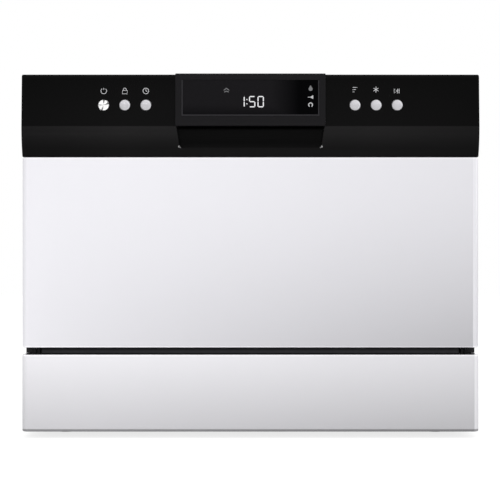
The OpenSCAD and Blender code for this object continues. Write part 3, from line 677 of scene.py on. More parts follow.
def rounded(corners: Points, radius: float, steps: int = 4, closed: bool = False) -> list[Vector]:
    """Rounds the corners of a line.

    Args:
        corners: Points of the line.
        radius: Radius of its bends.
        steps: Stretches in a bend.
        closed: Whether the line runs on from its last point to its first one.

    Returns:
        The points of the rounded line.
    """
    points = [Vector(c) for c in corners]
    made: list[Vector] = []
    for number, point in enumerate(points):
        if not closed and number in (0, len(points) - 1):
            made.append(point)
            continue
        back = points[number - 1] - point
        ahead = points[(number + 1) % len(points)] - point
        turn = math.pi - back.angle(ahead)
        reach = min(radius * math.tan(turn / 2), back.length * 0.49, ahead.length * 0.49)
        start, end = point + back.normalized() * reach, point + ahead.normalized() * reach
        for step in range(steps + 1):
            share = step / steps
            made.append(start.lerp(point, share).lerp(point.lerp(end, share), share))
    return made


def arc(centre: Pair, radius: float, start: float, end: float, steps: int) -> list[Pair]:
    """Gives the points of an arc between two angles in degrees, the first and the last one included."""
    angles = [math.radians(start + (end - start) * i / steps) for i in range(steps + 1)]
    return [(centre[0] + radius * math.cos(a), centre[1] + radius * math.sin(a)) for a in angles]


def rim(opening: Opening, y: float, radius: float, steps: int, inset: float = 0.0) -> list[Vector]:
    """Gives the rounded outline of an opening.

    Args:
        opening: Its lowest and highest corner, as X and Z.
        y: Depth of the outline.
        radius: Radius of its corners.
        steps: Stretches in a corner.
        inset: How far it is drawn in.

    Returns:
        The points of the closed line.
    """
    (x0, z0), (x1, z1) = opening
    x0, z0, x1, z1 = x0 + inset, z0 + inset, x1 - inset, z1 - inset
    return rounded([(x0, y, z0), (x1, y, z0), (x1, y, z1), (x0, y, z1)], radius, steps, True)


def body_of(node: str) -> str:
    """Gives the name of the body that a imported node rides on."""
    return frame["nodes"][node]["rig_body"]


class Form:
    """A mesh in the making, shaped with bmesh operators."""

    def __init__(self) -> None:
        """Starts with an empty mesh."""
        self.bm = bmesh.new()

    @classmethod
    def of_node(cls, node: str) -> "Form":
        """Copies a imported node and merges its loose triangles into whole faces.

        Args:
            node: Name of the node.

        Returns:
            The copy.
        """
        form = cls()
        form.bm.from_mesh(frame["nodes"][node].data)
        bmesh.ops.remove_doubles(form.bm, verts=form.bm.verts, dist=MERGE)
        bmesh.ops.dissolve_limit(form.bm, angle_limit=FLAT, verts=form.bm.verts, edges=form.bm.edges)
        return form

    def soften(self, edges: Iterable[Edge], width: float, steps: int = 2) -> None:
        """Rounds edges with a radius, in a number of stretches."""
        bmesh.ops.bevel(self.bm, geom=list(edges), offset=width, segments=steps, profile=0.5, affect="EDGES",
                        clamp_overlap=True, material=-1)

    def block(self, lo: Sequence[float], hi: Sequence[float], edge: float = 0.0, steps: int = 2) -> "Form":
        """Adds a block.

        Args:
            lo: Its lowest corner.
            hi: Its highest corner.
            edge: Radius of its edges.
            steps: Stretches in their rounding.

        Returns:
            This form.
        """
        low, high = Vector(lo), Vector(hi)
        place = Matrix.Translation((low + high) / 2) @ Matrix.Diagonal((*(high - low), 1))
        verts = bmesh.ops.create_cube(self.bm, size=1, matrix=place)["verts"]
        if edge:
            self.soften({e for v in verts for e in v.link_edges}, edge, steps)
        return self

    def rod(self, start: Sequence[float], end: Sequence[float], radius: float, sides: int = 32,
            edge: float = 0.0) -> "Form":
        """Adds a round rod.

        Args:
            start: Middle of its first end.
            end: Middle of its other end.
            radius: Its radius.
            sides: Faces round it.
            edge: Radius of its rims.

        Returns:
            This form.
        """
        a, b = Vector(start), Vector(end)
        place = Matrix.Translation((a + b) / 2) @ (b - a).to_track_quat("Z", "Y").to_matrix().to_4x4()
        verts = bmesh.ops.create_cone(self.bm, cap_ends=True, segments=sides, radius1=radius, radius2=radius,
                                      depth=(b - a).length, matrix=place)["verts"]
        if edge:
            edges = {e for v in verts for e in v.link_edges}
            self.soften([e for e in edges if any(len(f.verts) == sides for f in e.link_faces)], edge)
        return self

    def lathe(self, profile: Sequence[Pair], centre: Sequence[float], sides: int = 48) -> "Form":
        """Adds a shape that is turned about an axis from front to back.

        Args:
            profile: Its radius and its depth along the axis, point by point.
            centre: Point of the axis from which the depths count.
            sides: Faces round it.

        Returns:
            This form.
        """
        count = len(self.bm.verts)
        verts = [self.bm.verts.new(Vector(centre) + Vector((0, depth, radius))) for radius, depth in profile]
        edges = [self.bm.edges.new(pair) for pair in zip(verts, verts[1:])]
        bmesh.ops.spin(self.bm, geom=[*verts, *edges], cent=centre, axis=Axis.Y.value, dvec=(0, 0, 0),
                       angle=2 * math.pi, steps=sides, use_merge=True)
        self.close(count)
        return self

    def close(self, count: int) -> None:
        """Merges the doubles of the newest shape and turns its faces outwards.

        Args:
            count: Number of corners that the form had before that shape.
        """
        self.bm.verts.ensure_lookup_table()
        bmesh.ops.remove_doubles(self.bm, verts=self.bm.verts[count:], dist=MERGE)
        self.bm.verts.ensure_lookup_table()
        faces = {f for v in self.bm.verts[count:] for f in v.link_faces}
        bmesh.ops.recalc_face_normals(self.bm, faces=list(faces))

    def prism(self, outline: Sequence[Pair], axis: Axis, start: float, end: float) -> "Form":
        """Adds an outline carried along an axis.

        Args:
            outline: Its points across the axis.
            axis: The axis.
            start: Where it starts.
            end: Where it ends.

        Returns:
            This form.
        """
        count = len(self.bm.verts)
        face = self.bm.faces.new([self.bm.verts.new(axis.point(p, start)) for p in outline])
        made = bmesh.ops.extrude_face_region(self.bm, geom=[face])["geom"]
        moved = [v for v in made if isinstance(v, Vert)]
        bmesh.ops.translate(self.bm, vec=Vector(axis.value) * (end - start), verts=moved)
        self.close(count)
        return self

    def carry(self, edges: Sequence[Edge]) -> tuple[list[Vert], list[Edge]]:
        """Grows a row of faces from a row of edges, all still in one place.

        Args:
            edges: The row of edges.

        Returns:
            The corners and the edges of the new row.
        """
        made = bmesh.ops.extrude_edge_only(self.bm, edges=edges)["geom"]
        verts = [v for v in made if isinstance(v, Vert)]
        fresh = set(verts)
        return verts, [e for e in made if isinstance(e, Edge) and fresh.issuperset(e.verts)]

    def wire(self, points: Points, radius: float, sides: int = 8, closed: bool = False) -> "Form":
        """Adds a round wire along a line.

        Args:
            points: Points of the line.
            radius: The wire's radius.
            sides: Faces round it.
            closed: Whether the wire is a ring.

        Returns:
            This form.
        """
        path = [Vector(p) for p in points]
        count = len(path)
        turn = Quaternion()
        last = Vector((0, 0, 1))
        places = []
        for number, point in enumerate(path):
            before = path[number - 1] if closed or number else point
            after = path[(number + 1) % count] if closed or number < count - 1 else point
            heading = (after - before).normalized()
            turn = last.rotation_difference(heading) @ turn
            last = heading
            places.append(Matrix.Translation(point) @ turn.to_matrix().to_4x4())
        verts = bmesh.ops.create_circle(self.bm, cap_ends=False, radius=radius, segments=sides,
                                        matrix=places[0])["verts"]
        first = list({e for v in verts for e in v.link_edges})
        ring = first
        for here, there in zip(places, places[1:]):
            moved, ring = self.carry(ring)
            bmesh.ops.transform(self.bm, matrix=there @ here.inverted(), verts=moved)
        if closed:
            bmesh.ops.bridge_loops(self.bm, edges=first + ring)
        else:
            for end in (first, ring):
                bmesh.ops.edgeloop_fill(self.bm, edges=end)
        return self

    def mirrored(self) -> "Form":
        """Adds the other hand of the whole form, across the plane between left and right.

        Returns:
            This form.
        """
        geom = [*self.bm.verts, *self.bm.edges, *self.bm.faces]
        made = bmesh.ops.duplicate(self.bm, geom=geom)["geom"]
        bmesh.ops.scale(self.bm, vec=(-1, 1, 1), verts=[v for v in made if isinstance(v, Vert)])
        bmesh.ops.reverse_faces(self.bm, faces=[f for f in made if isinstance(f, bmesh.types.BMFace)])
        return self

    def cut(self, tool: "Form") -> "Form":
        """Takes another closed form away from this one."""
        return self.meet(tool, Keep.REST)

    def pierce(self, opening: Opening, front: float, back: float) -> "Form":
        """Cuts an opening, given by its corners as X and Z, between two depths."""
        (x0, z0), (x1, z1) = opening
        return self.cut(Form().block((x0, front, z0), (x1, back, z1)))

    def meet(self, tool: "Form", keep: Keep) -> "Form":
        """Lets another closed form meet this one.

        Args:
            tool: The other form, which is used up.
            keep: What is kept of the two.

        Returns:
            This form.
        """
        objects = []
        for part in (self, tool):
            mesh = bpy.data.meshes.new("in_the_making")
            part.bm.to_mesh(mesh)
            objects.append(bpy.data.objects.new("in_the_making", mesh))
            bpy.context.scene.collection.objects.link(objects[-1])
        modifier = objects[0].modifiers.new("meet", "BOOLEAN")
        modifier.operation = keep.value
        modifier.solver = "EXACT"
        modifier.object = objects[1]
        result = objects[0].evaluated_get(bpy.context.evaluated_depsgraph_get()).to_mesh()
        self.bm.clear()
        self.bm.from_mesh(result)
        tool.bm.free()
        for made in objects:
            mesh = made.data
            bpy.data.objects.remove(made)
            bpy.data.meshes.remove(mesh)
        bmesh.ops.remove_doubles(self.bm, verts=self.bm.verts, dist=MERGE)
        return self

    def crease(self, height: float) -> None:
        """Marks the level edges at a height as sharp ones.

        Args:
            height: The height.
        """
        for edge in self.bm.edges:
            if all(abs(v.co.z - height) < LEVEL for v in edge.verts):
                edge.smooth = False

    def piece(self, name: str, body: str, look: Finish, nodes: Sequence[str] = (), soften: float = 0.0,
              steps: int = 2) -> bpy.types.Object:
        """Makes the form a piece of the machine.

        Args:
            name: Name of the piece.
            body: The body that it moves with.
            look: Its finish.
            nodes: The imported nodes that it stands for.
            soften: Radius of its sharp edges, or 0 to leave them.
            steps: Stretches in their rounding.

        Returns:
            The piece.
        """
        mesh = bpy.data.meshes.new(name)
        for face in self.bm.faces:
            face.smooth = True
        self.bm.to_mesh(mesh)
        self.bm.free()
        creases = [e.index for e in mesh.edges if e.use_edge_sharp]
        mesh.set_sharp_from_angle(angle=SHARP)
        for index in creases:
            mesh.edges[index].use_edge_sharp = True
        mesh.materials.append(look.material())
        made = bpy.data.objects.new(name, mesh)
        bpy.context.scene.collection.objects.link(made)
        if soften:
            bevel = made.modifiers.new("soft_edges", "BEVEL")
            bevel.width = soften
            bevel.segments = steps
            bevel.limit_method = "ANGLE"
            bevel.angle_limit = SHARP
            bevel.profile = 0.5
            made.modifiers.new("flat_faces", "WEIGHTED_NORMAL").keep_sharp = True
        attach(made, body)
        if nodes:
            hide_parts(*nodes)
        log.info("%s rides on %s, %d faces", name, body, len(mesh.polygons))
        return made


@dataclass
class WrappedSheet:
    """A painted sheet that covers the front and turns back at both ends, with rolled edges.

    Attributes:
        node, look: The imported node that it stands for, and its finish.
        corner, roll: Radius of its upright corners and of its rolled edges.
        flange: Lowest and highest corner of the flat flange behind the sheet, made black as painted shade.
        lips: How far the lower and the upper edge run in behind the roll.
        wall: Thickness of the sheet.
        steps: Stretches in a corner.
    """

    node: str
    look: Finish
    corner: float
    flange: Box
    lips: Pair
    wall: float
    roll: float = 1.6 * MM
    steps: int = 10

    def plan(self, inset: float) -> list[Pair]:
        """Gives the sheet's plan from its left end to its right one.

        Args:
            inset: How far the plan is drawn in.

        Returns:
            Its points as X and Y.
        """
        lo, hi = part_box(self.node)
        x, y = hi.x - inset, lo.y + inset
        radius = max(self.corner - inset, 0.4 * MM)
        left = arc((radius - x, y + radius), radius, 180, 270, self.steps)
        right = arc((x - radius, y + radius), radius, 270, 360, self.steps)
        return [(-x, hi.y), *left, *right, (x, hi.y)]

    def rows(self) -> list[Pair]:
        """Lists the rows of the sheet, from its lower lip to its upper one.

        Returns:
            How far in and how high each row is.
        """
        lo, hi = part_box(self.node)
        low = [(self.roll + x, lo.z + self.roll + z) for x, z in arc((0, 0), self.roll, 270, 180, 5)]
        high = [(inset, hi.z + lo.z - z) for inset, z in reversed(low)]
        ends = [[(self.roll + lip, z)] if lip else [] for lip, z in zip(self.lips, (lo.z, hi.z))]
        return [*ends[0], *low, *high, *ends[1]]

    def along(self, vert: Vert) -> Pair:
        """Orders a row's corners from the left end round to the right one."""
        x, y, _ = vert.co
        return (round(x, 6), -y if x < 0 else y)

    def build(self) -> None:
        """Makes the sheet row by row, gives it its thickness and puts the flange behind it, in black as
        painted shade.
        """
        form = Form()
        (inset, z), *others = self.rows()
        verts = [form.bm.verts.new((*p, z)) for p in self.plan(inset)]
        edges = [form.bm.edges.new(pair) for pair in zip(verts, verts[1:])]
        for inset, z in others:
            verts, edges = form.carry(edges)
            for vert, point in zip(sorted(verts, key=self.along), self.plan(inset)):
                vert.co = (*point, z)
        bmesh.ops.recalc_face_normals(form.bm, faces=form.bm.faces)
        if min(form.bm.faces, key=lambda f: f.calc_center_median().y).normal.y > 0:
            bmesh.ops.reverse_faces(form.bm, faces=form.bm.faces)
        bmesh.ops.solidify(form.bm, geom=form.bm.faces, thickness=self.wall)
        # The flange is made of black coated steel, which paints the shade that lies on it in the gap.
        Form().block(*self.flange, 0.2 * MM).piece(self.node + "_flange", body_of(self.node), PALETTE.coated)
        form.piece(self.node + "_sheet", body_of(self.node), self.look, [self.node])


@dataclass
class DoorSkin(WrappedSheet):
    """The silver sheet of the door, open at its foot so that it clears the hinges."""

    node: str = "door_skin"
    look: Finish = PALETTE.door
    corner: float = 6 * MM
    flange: Box = (mm(-254, -239.4, 109.05), mm(254, -228, 109.75))
    lips: Pair = (0, 2 * MM)
    wall: float = 0.8 * MM


@dataclass
class KickPlate(WrappedSheet):
    """The silver sheet under the door."""

    node: str = "kick_plate"
    look: Finish = PALETTE.kick
    corner: float = 8 * MM
    flange: Box = (mm(-273.5, -238.4, 99.55), mm(273.5, -229, 100.45))
    lips: Pair = (2 * MM, 2 * MM)
    wall: float = MM


@dataclass
class Assembly:
    """A group of pieces.

    Attributes:
        soft: Finish, edge radius in millimetres, stretches and names of the nodes to soften.
    """

    soft: tuple[Soft, ...] = ()

    def build(self) -> None:
        """Stands for each node whose shape is right with a copy that has soft edges."""
        for look, radius, steps, names in self.soft:
            for node in names.split():
                Form.of_node(node).piece(node + "_made", body_of(node), look, [node], radius * MM, steps)


@dataclass
class ControlPanel(Assembly):
    """The black panel: a leaning face over a curved band, a finger pocket, and signs and buttons.

    Attributes:
        crease_z: Height of the crease between the face and the band.
        band_r, top_r, end_r: Radius of the band, of the top edge and of the edges round both ends.
        lean: How far the face goes back from the crease to its top.
        wall, floor: Thickness of the moulding and of the pocket's walls.
        pocket, taper: Half width of the pocket at its top, and how much narrower its floor is.
        pocket_z, pocket_y: Height of its floor and Y of its back.
        grip_z: Foot and top of the space behind the display block.
        seat, seat_y: Half width and Y of the seat of the display block.
        reach: How far a cutting tool stands out of the face, and over the panel.
        studs, stud: X of the studs that hold the panel; their start behind the face, end's Y, Z and radius.
        names: Name of each button, from left to right.
        cap: Shares of a cap's radius, each with its depth in millimetres, from the middle out.
        collar: How far a collar lies behind the panel's face and how far it stands out of the cap.
        stem: Radius of a button's stem.
        hole: Gap round a cap in its hole, and how far behind the face the hole is cut.
        sign_z, high_signs: Height of the lower and the higher signs, and the buttons with the latter.
        sign_r, stroke: Half the height of a sign, and half the width of its lines.
    """

    soft: tuple[Soft, ...] = ((PALETTE.board, 0.2, 2, "control_board"),)
    crease_z: float = 375 * MM
    band_r: float = 75 * MM
    lean: float = 4 * MM
    top_r: float = 4 * MM
    end_r: float = 1.6 * MM
    wall: float = 2.5 * MM
    floor: float = 2 * MM
    pocket: float = 89 * MM
    taper: float = 4 * MM
    pocket_z: float = 349 * MM
    pocket_y: float = -220 * MM
    grip_z: Pair = mm(370, 387)
    seat: float = 90.3 * MM
    seat_y: float = -239.5 * MM
    reach: Pair = mm(5, 100)
    studs: tuple[float, ...] = mm(-185, -100, 100, 185)
    stud: tuple[float, ...] = mm(5, -231.6, 424, 4)
    names: tuple[str, ...] = ("power", "lock", "delay", "program", "function", "start")
    cap: tuple[Pair, ...] = (
        (0, 0.5), (0.66, 0.35), (0.72, 0.1), (0.8, 0), (0.9, 0.12), (0.97, 0.5), (1, 1.1))
    collar: Pair = mm(6, 1.2)
    stem: float = 3 * MM
    hole: Pair = mm(0.35, 12)
    high_signs: tuple[str, ...] = ("program", "function")
    sign_z: Pair = mm(417.4, 419)
    sign_r: float = 3.4 * MM
    stroke: float = 0.36 * MM

    def __post_init__(self) -> None:
        """Reads the panel's reach and the places of its buttons from the frame."""
        self.lo, self.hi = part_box("control_panel")
        boxes = {name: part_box(name + "_button") for name in self.names}
        self.places = {name: (lo.x + hi.x) / 2 for name, (lo, hi) in boxes.items()}
        lo, hi = boxes[self.names[0]]
        self.button_z = (lo.z + hi.z) / 2
        self.button_r = (hi.z - lo.z) / 2 - self.collar[1]

    def face_y(self, z: float) -> float:
        """Gives the Y of the leaning face at a height."""
        return self.lo.y + self.lean * (z - self.crease_z) / (self.hi.z - self.top_r - self.crease_z)

    def section(self, wall: float, back: float) -> list[Pair]:
        """Gives the panel's cross section.

        Args:
            wall: How far it is drawn in.
            back: Y of its back.

        Returns:
            Its points as Y and Z.
        """
        foot = self.lo.z + wall
        radius = self.band_r - wall
        sweep = math.degrees(math.asin((self.crease_z - foot) / radius))
        tilt = math.degrees(math.atan2(self.lean, self.hi.z - self.top_r - self.crease_z))
        band = arc((self.lo.y + self.band_r, self.crease_z), radius, 180 + sweep, 180, 24)
        turn_middle = (self.lo.y + self.lean + self.top_r, self.hi.z - self.top_r)
        edge = arc(turn_middle, self.top_r - wall, 180 - tilt, 90, 8)
        return [(back, self.hi.z - wall), (back, foot), *band, *edge]

    def pocket_outline(self, grow: float) -> list[Pair]:
        """Gives the pocket's outline from the front, as X and Z, grown by a wall."""
        top, high, low = self.pocket + grow, self.crease_z + 0.1 * MM, self.pocket_z - grow
        return [(-top, high), (top, high), (top - self.taper, low), (self.taper - top, low)]

    def shell(self) -> None:
        """Moulds the panel with its pocket, its seat and its button holes."""
        half, floor = self.hi.x, self.floor
        front, over = self.lo.y - self.reach[0], self.hi.z + self.reach[1]
        inner_back, rear = self.hi.y + self.wall, self.pocket_y + self.floor
        form = Form().prism(self.section(0, self.hi.y), Axis.X, -half, half)
        form.soften([e for e in form.bm.edges if e.verts[0].co.x * e.verts[1].co.x > 0], self.end_r, 4)
        end = half - self.wall
        form.cut(Form().prism(self.section(self.wall, inner_back), Axis.X, -end, end))
        room = Form().prism(self.section(self.wall / 2, inner_back), Axis.X, -half, half)
        tray = Form().prism(self.pocket_outline(floor), Axis.Y, self.lo.y, rear)
        form.meet(tray.meet(room, Keep.SHARED), Keep.BOTH)
        side, (low, high) = self.pocket + MM, self.grip_z
        corners = (-side, self.seat_y, low - floor), (side, rear - HAIR, high + floor)
        form.meet(Form().block(*corners), Keep.BOTH)
        form.cut(Form().prism(self.pocket_outline(0), Axis.Y, front, self.pocket_y))
        side = self.pocket - floor
        form.pierce(((-side, low), (side, high)), self.seat_y + floor, self.pocket_y - HAIR)
        form.pierce(((-self.seat, self.crease_z), (self.seat, over)), front, self.seat_y)
        gap, depth = self.hole
        for x in self.places.values():
            hole = (x, front, self.button_z), (x, self.lo.y + depth, self.button_z)
            form.cut(Form().rod(*hole, self.button_r + gap, 40))
        start, end, z, radius = self.stud
        for x in self.studs:
            form.rod((x, self.lo.y + start, z), (x, end, z), radius, 20)
        form.crease(self.crease_z)
        form.piece("control_panel_shell", "door", PALETTE.gloss, ["control_panel"], 0.7 * MM, 3)

    def buttons(self) -> None:
        """Makes each push button: a dished cap with a round rim, its collar and its stem."""
        radius, stem, wide = self.button_r, self.stem, self.button_r + self.collar[1]
        for name, x in self.places.items():
            node = name + "_button"
            lo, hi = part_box(node)
            collar, depth = self.lo.y + self.collar[0] - lo.y, hi.y - lo.y
            profile = [(radius * share, place * MM) for share, place in self.cap]
            profile += [(radius, collar), (wide, collar), (wide, collar + MM), (stem, collar + MM),
                        (stem, depth), (0, depth)]
            look = PALETTE.cap(name, (x, 0, self.button_z), radius)
            Form().lathe(profile, (x, lo.y, self.button_z), 56).piece(node + "_cap", node, look, [node])

    def signs(self) -> None:
        """Prints a generic sign over each button, drawn in a square from -1 to 1."""
        drawn = {
            "power": [arc((0, 0), 1, 130, 410, 22), [(0, 0.4), (0, 1.1)]],
            "lock": [arc((0, 0.45), 0.55, -20, 200, 12),
                     [(-0.85, 0.2), (0.85, 0.2), (0.85, -1), (-0.85, -1), (-0.85, 0.2)]],
            "delay": [arc((0, 0), 1, 0, 360, 24), [(0, 0.65), (0, 0), (0.45, -0.25)]],
            "program": [[(-0.8, v), (0.8 - 0.5 * n, v)] for n, v in enumerate((0.8, 0.0, -0.8))],
            "function": [[(0, 1), (0, -1)], [(-0.87, 0.5), (0.87, -0.5)], [(-0.87, -0.5), (0.87, 0.5)]],
            "start": [[(-1, 0.8), (-1, -0.8), (0, 0), (-1, 0.8)], [(0.25, 0.8), (0.25, -0.8)],
                      [(0.75, 0.8), (0.75, -0.8)]],
        }
        for name, x in self.places.items():
            form = Form()
            z = self.sign_z[name in self.high_signs]
            for stroke in drawn[name]:
                closed = stroke[0] == stroke[-1]
                points = [(x + u * self.sign_r, 0, z + v * self.sign_r) for u, v in stroke]
                form.wire(points[:-1] if closed else points, self.stroke, 6, closed)
            bmesh.ops.scale(form.bm, vec=(1, 0.1, 1), verts=form.bm.verts)
            for vert in form.bm.verts:
                vert.co.y += self.face_y(vert.co.z) - HAIR
            form.piece(name + "_sign", "door", PALETTE.ink)

    def build(self) -> None:
        """Makes the shell, the buttons, their signs and the board."""
        self.shell()
        self.buttons()
        self.signs()
        super().build()


@dataclass
class DisplayBlock:
    """The raised block over the pocket, with a smoked window and lit signs.

    Attributes:
        top_r, low_r: Radius of its top edge and of its lower edge.
        gap, frame_w: Gap round the window, and width of the frame's step behind it.
        edge_w, edge_back: Width of the lighter edge round the window, which paints its highlight, and how
            far back it stands.
        groove: How much wider the edge's groove is, and how deep it is.
        digit_z, digit_size: Foot of the digits, and their width and height.
        digits: Left edge in millimetres and lit segments of each digit.
        dots: X, heights over the digits' foot and radius of the two dots, in millimetres.
        stroke, film: Width and thickness of a lit segment.
        tip: Gap before a segment's tip.
    """

    top_r: float = 3 * MM
    low_r: float = 1.5 * MM
    gap: float = 0.1 * MM
    frame_w: float = 3 * MM
    edge_w: float = 1.5 * MM
    edge_back: float = 0.15 * MM
    groove: Pair = mm(0.05, 1.3)
    digit_z: float = 397.2 * MM
    digit_size: Pair = mm(7.6, 13.5)
    digits: tuple[tuple[float, str], ...] = ((-14.4, "bc"), (-1.7, "afgcd"), (8.5, "abcdef"))
    dots: tuple[float, ...] = (-4.2, 4.2, 9.3, 0.7)
    stroke: float = 1.25 * MM
    tip: float = 0.15 * MM
    film: float = 0.06 * MM

    def __post_init__(self) -> None:
        """Reads the block and the window from the frame."""
        self.lo, self.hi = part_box("display_bezel")
        self.glass_lo, self.glass_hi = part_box("display_window")

    def around(self, grow: float, head: float) -> Opening:
        """Gives the window's corners, grown by one distance, and by another one at its head."""
        a, b = self.glass_lo, self.glass_hi
        return (a.x - grow, a.z - grow), (b.x + grow, b.z + head)

    def block(self) -> None:
        """Makes the frame with its rounded edges and the seat of its window."""
        lo, hi = self.lo, self.hi
        outline = [(hi.y, hi.z), (hi.y, lo.z)]
        outline += arc((lo.y + self.low_r, lo.z + self.low_r), self.low_r, 270, 180, 5)
        outline += arc((lo.y + self.top_r, hi.z - self.top_r), self.top_r, 180, 90, 8)
        form = Form().prism(outline, Axis.X, lo.x, hi.x)
        form.pierce(self.around(self.gap, self.gap), lo.y - MM, self.glass_hi.y)
        form.pierce(self.around(-self.frame_w, -self.frame_w), lo.y, hi.y + MM)
        form.pierce(self.around(self.edge_w + self.groove[0], self.gap), lo.y - MM, lo.y + self.groove[1])
        form.piece("display_block_frame", "door", PALETTE.bezel, ["display_bezel"], 0.5 * MM, 3)

    def edge(self) -> None:
        """Makes the slim lighter edge round the sides and the foot of the window, a painted highlight on the
        window's rim.
        """
        y = self.lo.y + self.edge_back
        (x0, z0), (x1, z1) = self.around(self.edge_w, 0)
        form = Form().block((x0, y, z0), (x1, y + MM, z1))
        form.pierce(self.around(self.gap, MM), y - MM, y + 2 * MM)
        form.piece("display_window_edge", "door", PALETTE.edge, (), 0.3 * MM, 2)

    def window(self) -> None:
        """Makes the window, with a fine edge that catches light."""
        form = Form().block(self.glass_lo, self.glass_hi)
        form.piece("display_cover", "door", PALETTE.window, ["display_window"], 0.2 * MM, 2)

    def lit(self, outlines: Sequence[Sequence[Pair]], name: str, look: Finish) -> None:
        """Makes flat lit shapes on the window.

        Args:
            outlines: Their outlines as X and Z.
            name: Name of the piece.
            look: Their finish.
        """
        form = Form()
        front = self.glass_lo.y
        for outline in outlines:
            form.prism(outline, Axis.Y, front - self.film, front + self.film)
        form.piece(name, "door", look)

    def segment(self, a: Pair, b: Pair) -> list[Pair]:
        """Gives the pointed outline of a lit segment.

        Args:
            a: Its first end.
            b: Its other end.

        Returns:
            Its points as X and Z.
        """
        start, end = Vector(a), Vector(b)
        ahead = (end - start).normalized()
        side = Vector((-ahead.y, ahead.x)) * self.stroke / 2
        tip = ahead * self.stroke / 2
        start, end = start + ahead * self.tip, end - ahead * self.tip
        points = [start, start + tip + side, end - tip + side, end, end - tip - side, start + tip - side]
        return [tuple(p) for p in points]

    def digit(self, x: float, lit: str) -> list[list[Pair]]:
        """Gives the lit segments of one digit.

        Args:
            x: Its left edge.
            lit: Letters of its lit segments, from a at the top round to f, and g in the middle.

        Returns:
            The outlines of the segments.
        """
        half = self.stroke / 2
        left, right = x + half, x + self.digit_size[0] - half
        low, high = self.digit_z + half, self.digit_z + self.digit_size[1] - half
        mid = (low + high) / 2
        ends = {"a": ((left, high), (right, high)), "b": ((right, high), (right, mid)),
                "c": ((right, mid), (right, low)), "d": ((left, low), (right, low)),
                "e": ((left, low), (left, mid)), "f": ((left, mid), (left, high)),
                "g": ((left, mid), (right, mid))}
        return [self.segment(*ends[letter]) for letter in lit]

    def time(self) -> None:
        """Lights the time left, one hour and fifty minutes."""
        shapes = [segment for x, lit in self.digits for segment in self.digit(x * MM, lit)]
        x, *heights, radius = mm(*self.dots)
        shapes += [arc((x, self.digit_z + z), radius, 0, 337.5, 15) for z in heights]
        self.lit(shapes, "display_digits", PALETTE.digits)

    def lamps(self) -> None:
        """Lights the small signs: a wave under a roof, and a drop, a spray and a dish in a column."""
        roof = flat((-32, 418), (-28.7, 420.6), (-25.4, 418), (-25.4, 417), (-28.7, 419.4), (-32, 417))
        wave = flat((-31.4, 415), (-31.4, 416), (-28.7, 417), (-26, 416), (-26, 415), (-28.7, 416))
        drop = flat(*arc((72, 419.2), 2.4, 140, 400, 14), (72, 423.6))
        spray = flat((68.8, 409.7), (71.8, 409.7), (74.4, 411.4), (75.2, 411.4), (75.2, 407.4),
                     (74.4, 407.4), (71.8, 409), (68.8, 409))
        dish = flat(*arc((72, 400.2), 2.9, -60, 240, 16), *arc((72, 400.2), 1.7, 240, -60, 16))
        self.lit([spray, dish], "display_signs", PALETTE.dim)
        self.lit([roof, wave, drop], "display_faint_signs", PALETTE.faint)

    def build(self) -> None:
        """Makes the block, its window and its lit signs."""
        self.block()
        self.edge()
        self.window()
        self.time()
        self.lamps()


@dataclass
class Cabinet(Assembly):
    """The painted cabinet, its back with louvres, its tray and its feet.

    Attributes:
        top_edge, sheet: Radius of the top cover's edges, and its thickness.
        hood: Section of a louvre hood in millimetres, from the back's face and the louvre's foot.
        louvres, count: First and last X, foot and pitch of each set, in millimetres, and louvres in a set.
        frames: Lowest and highest corner, in millimetres, of each frame of stiffening beads.
        bead: Radius of a frame's corners and of a bead.
    """

    soft: tuple[Soft, ...] = (
        (PALETTE.cabinet, 0.45, 3, "left_side_panel right_side_panel"),
        (PALETTE.zinc, 0.2, 2, "rear_panel"),
        (PALETTE.screws, 0.35, 2, "cabinet_screws"),
        (PALETTE.dark, 0.5, 2, "base_tray foot_front_left foot_front_right foot_rear_left foot_rear_right"),
        (PALETTE.sill, 0.8, 3, "sill_bar"))
    top_edge: float = 5 * MM
    sheet: float = MM
    hood: tuple[Pair, ...] = ((-0.2, 5), (1.6, 0.9), (1.6, 0.5), (1.1, 0.5), (-0.2, 4.2))
    louvres: tuple[tuple[float, ...], ...] = ((-50, 50, 70, 7), (90, 180, 320, 8))
    count: int = 8
    frames: tuple[Opening, ...] = (((-235, 150), (-30, 405)), ((0, 150), (235, 295)))
    bead: Pair = mm(22, 1.1)

    def cover(self) -> None:
        """Makes the top cover, a sheet with rounded edges and skirts."""
        lo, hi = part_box("top_cover")
        form = Form().block(lo, hi)
        below = [f for f in form.bm.faces if f.normal.z < -0.9]
        bmesh.ops.delete(form.bm, geom=below, context="FACES_ONLY")
        loose = [e for e in form.bm.edges if not e.link_faces]
        bmesh.ops.delete(form.bm, geom=loose, context="EDGES")
        form.soften([e for e in form.bm.edges if not e.is_boundary], self.top_edge, 6)
        bmesh.ops.solidify(form.bm, geom=form.bm.faces, thickness=self.sheet)
        form.pierce(LATCH_SLOT, lo.y - MM, lo.y + 3 * MM)
        form.piece("top_cover_sheet", "cabinet", PALETTE.cabinet, ["top_cover"])

    def hoods(self) -> None:
        """Presses a hood over each louvre of the back."""
        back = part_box("rear_panel")[1].y
        form = Form()
        for x0, x1, z0, pitch in self.louvres:
            for number in range(self.count):
                outline = [(back + y * MM, (z0 + pitch * number + z) * MM) for y, z in self.hood]
                form.prism(outline, Axis.X, (x0 - 1) * MM, (x1 + 1) * MM)
        form.piece("rear_louvre_hoods", "cabinet", PALETTE.zinc)

    def beads(self) -> None:
        """Presses stiffening beads into the back."""
        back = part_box("rear_panel")[1].y
        form = Form()
        corner, radius = self.bead
        for corners in self.frames:
            form.wire(rim(flat(*corners), back, corner, 8), radius, 8, True)
        form.piece("rear_stiffening_beads", "cabinet", PALETTE.zinc)

    def build(self) -> None:
        """Makes the cabinet's pieces."""
        self.cover()
        self.hoods()
        self.beads()
        super().build()


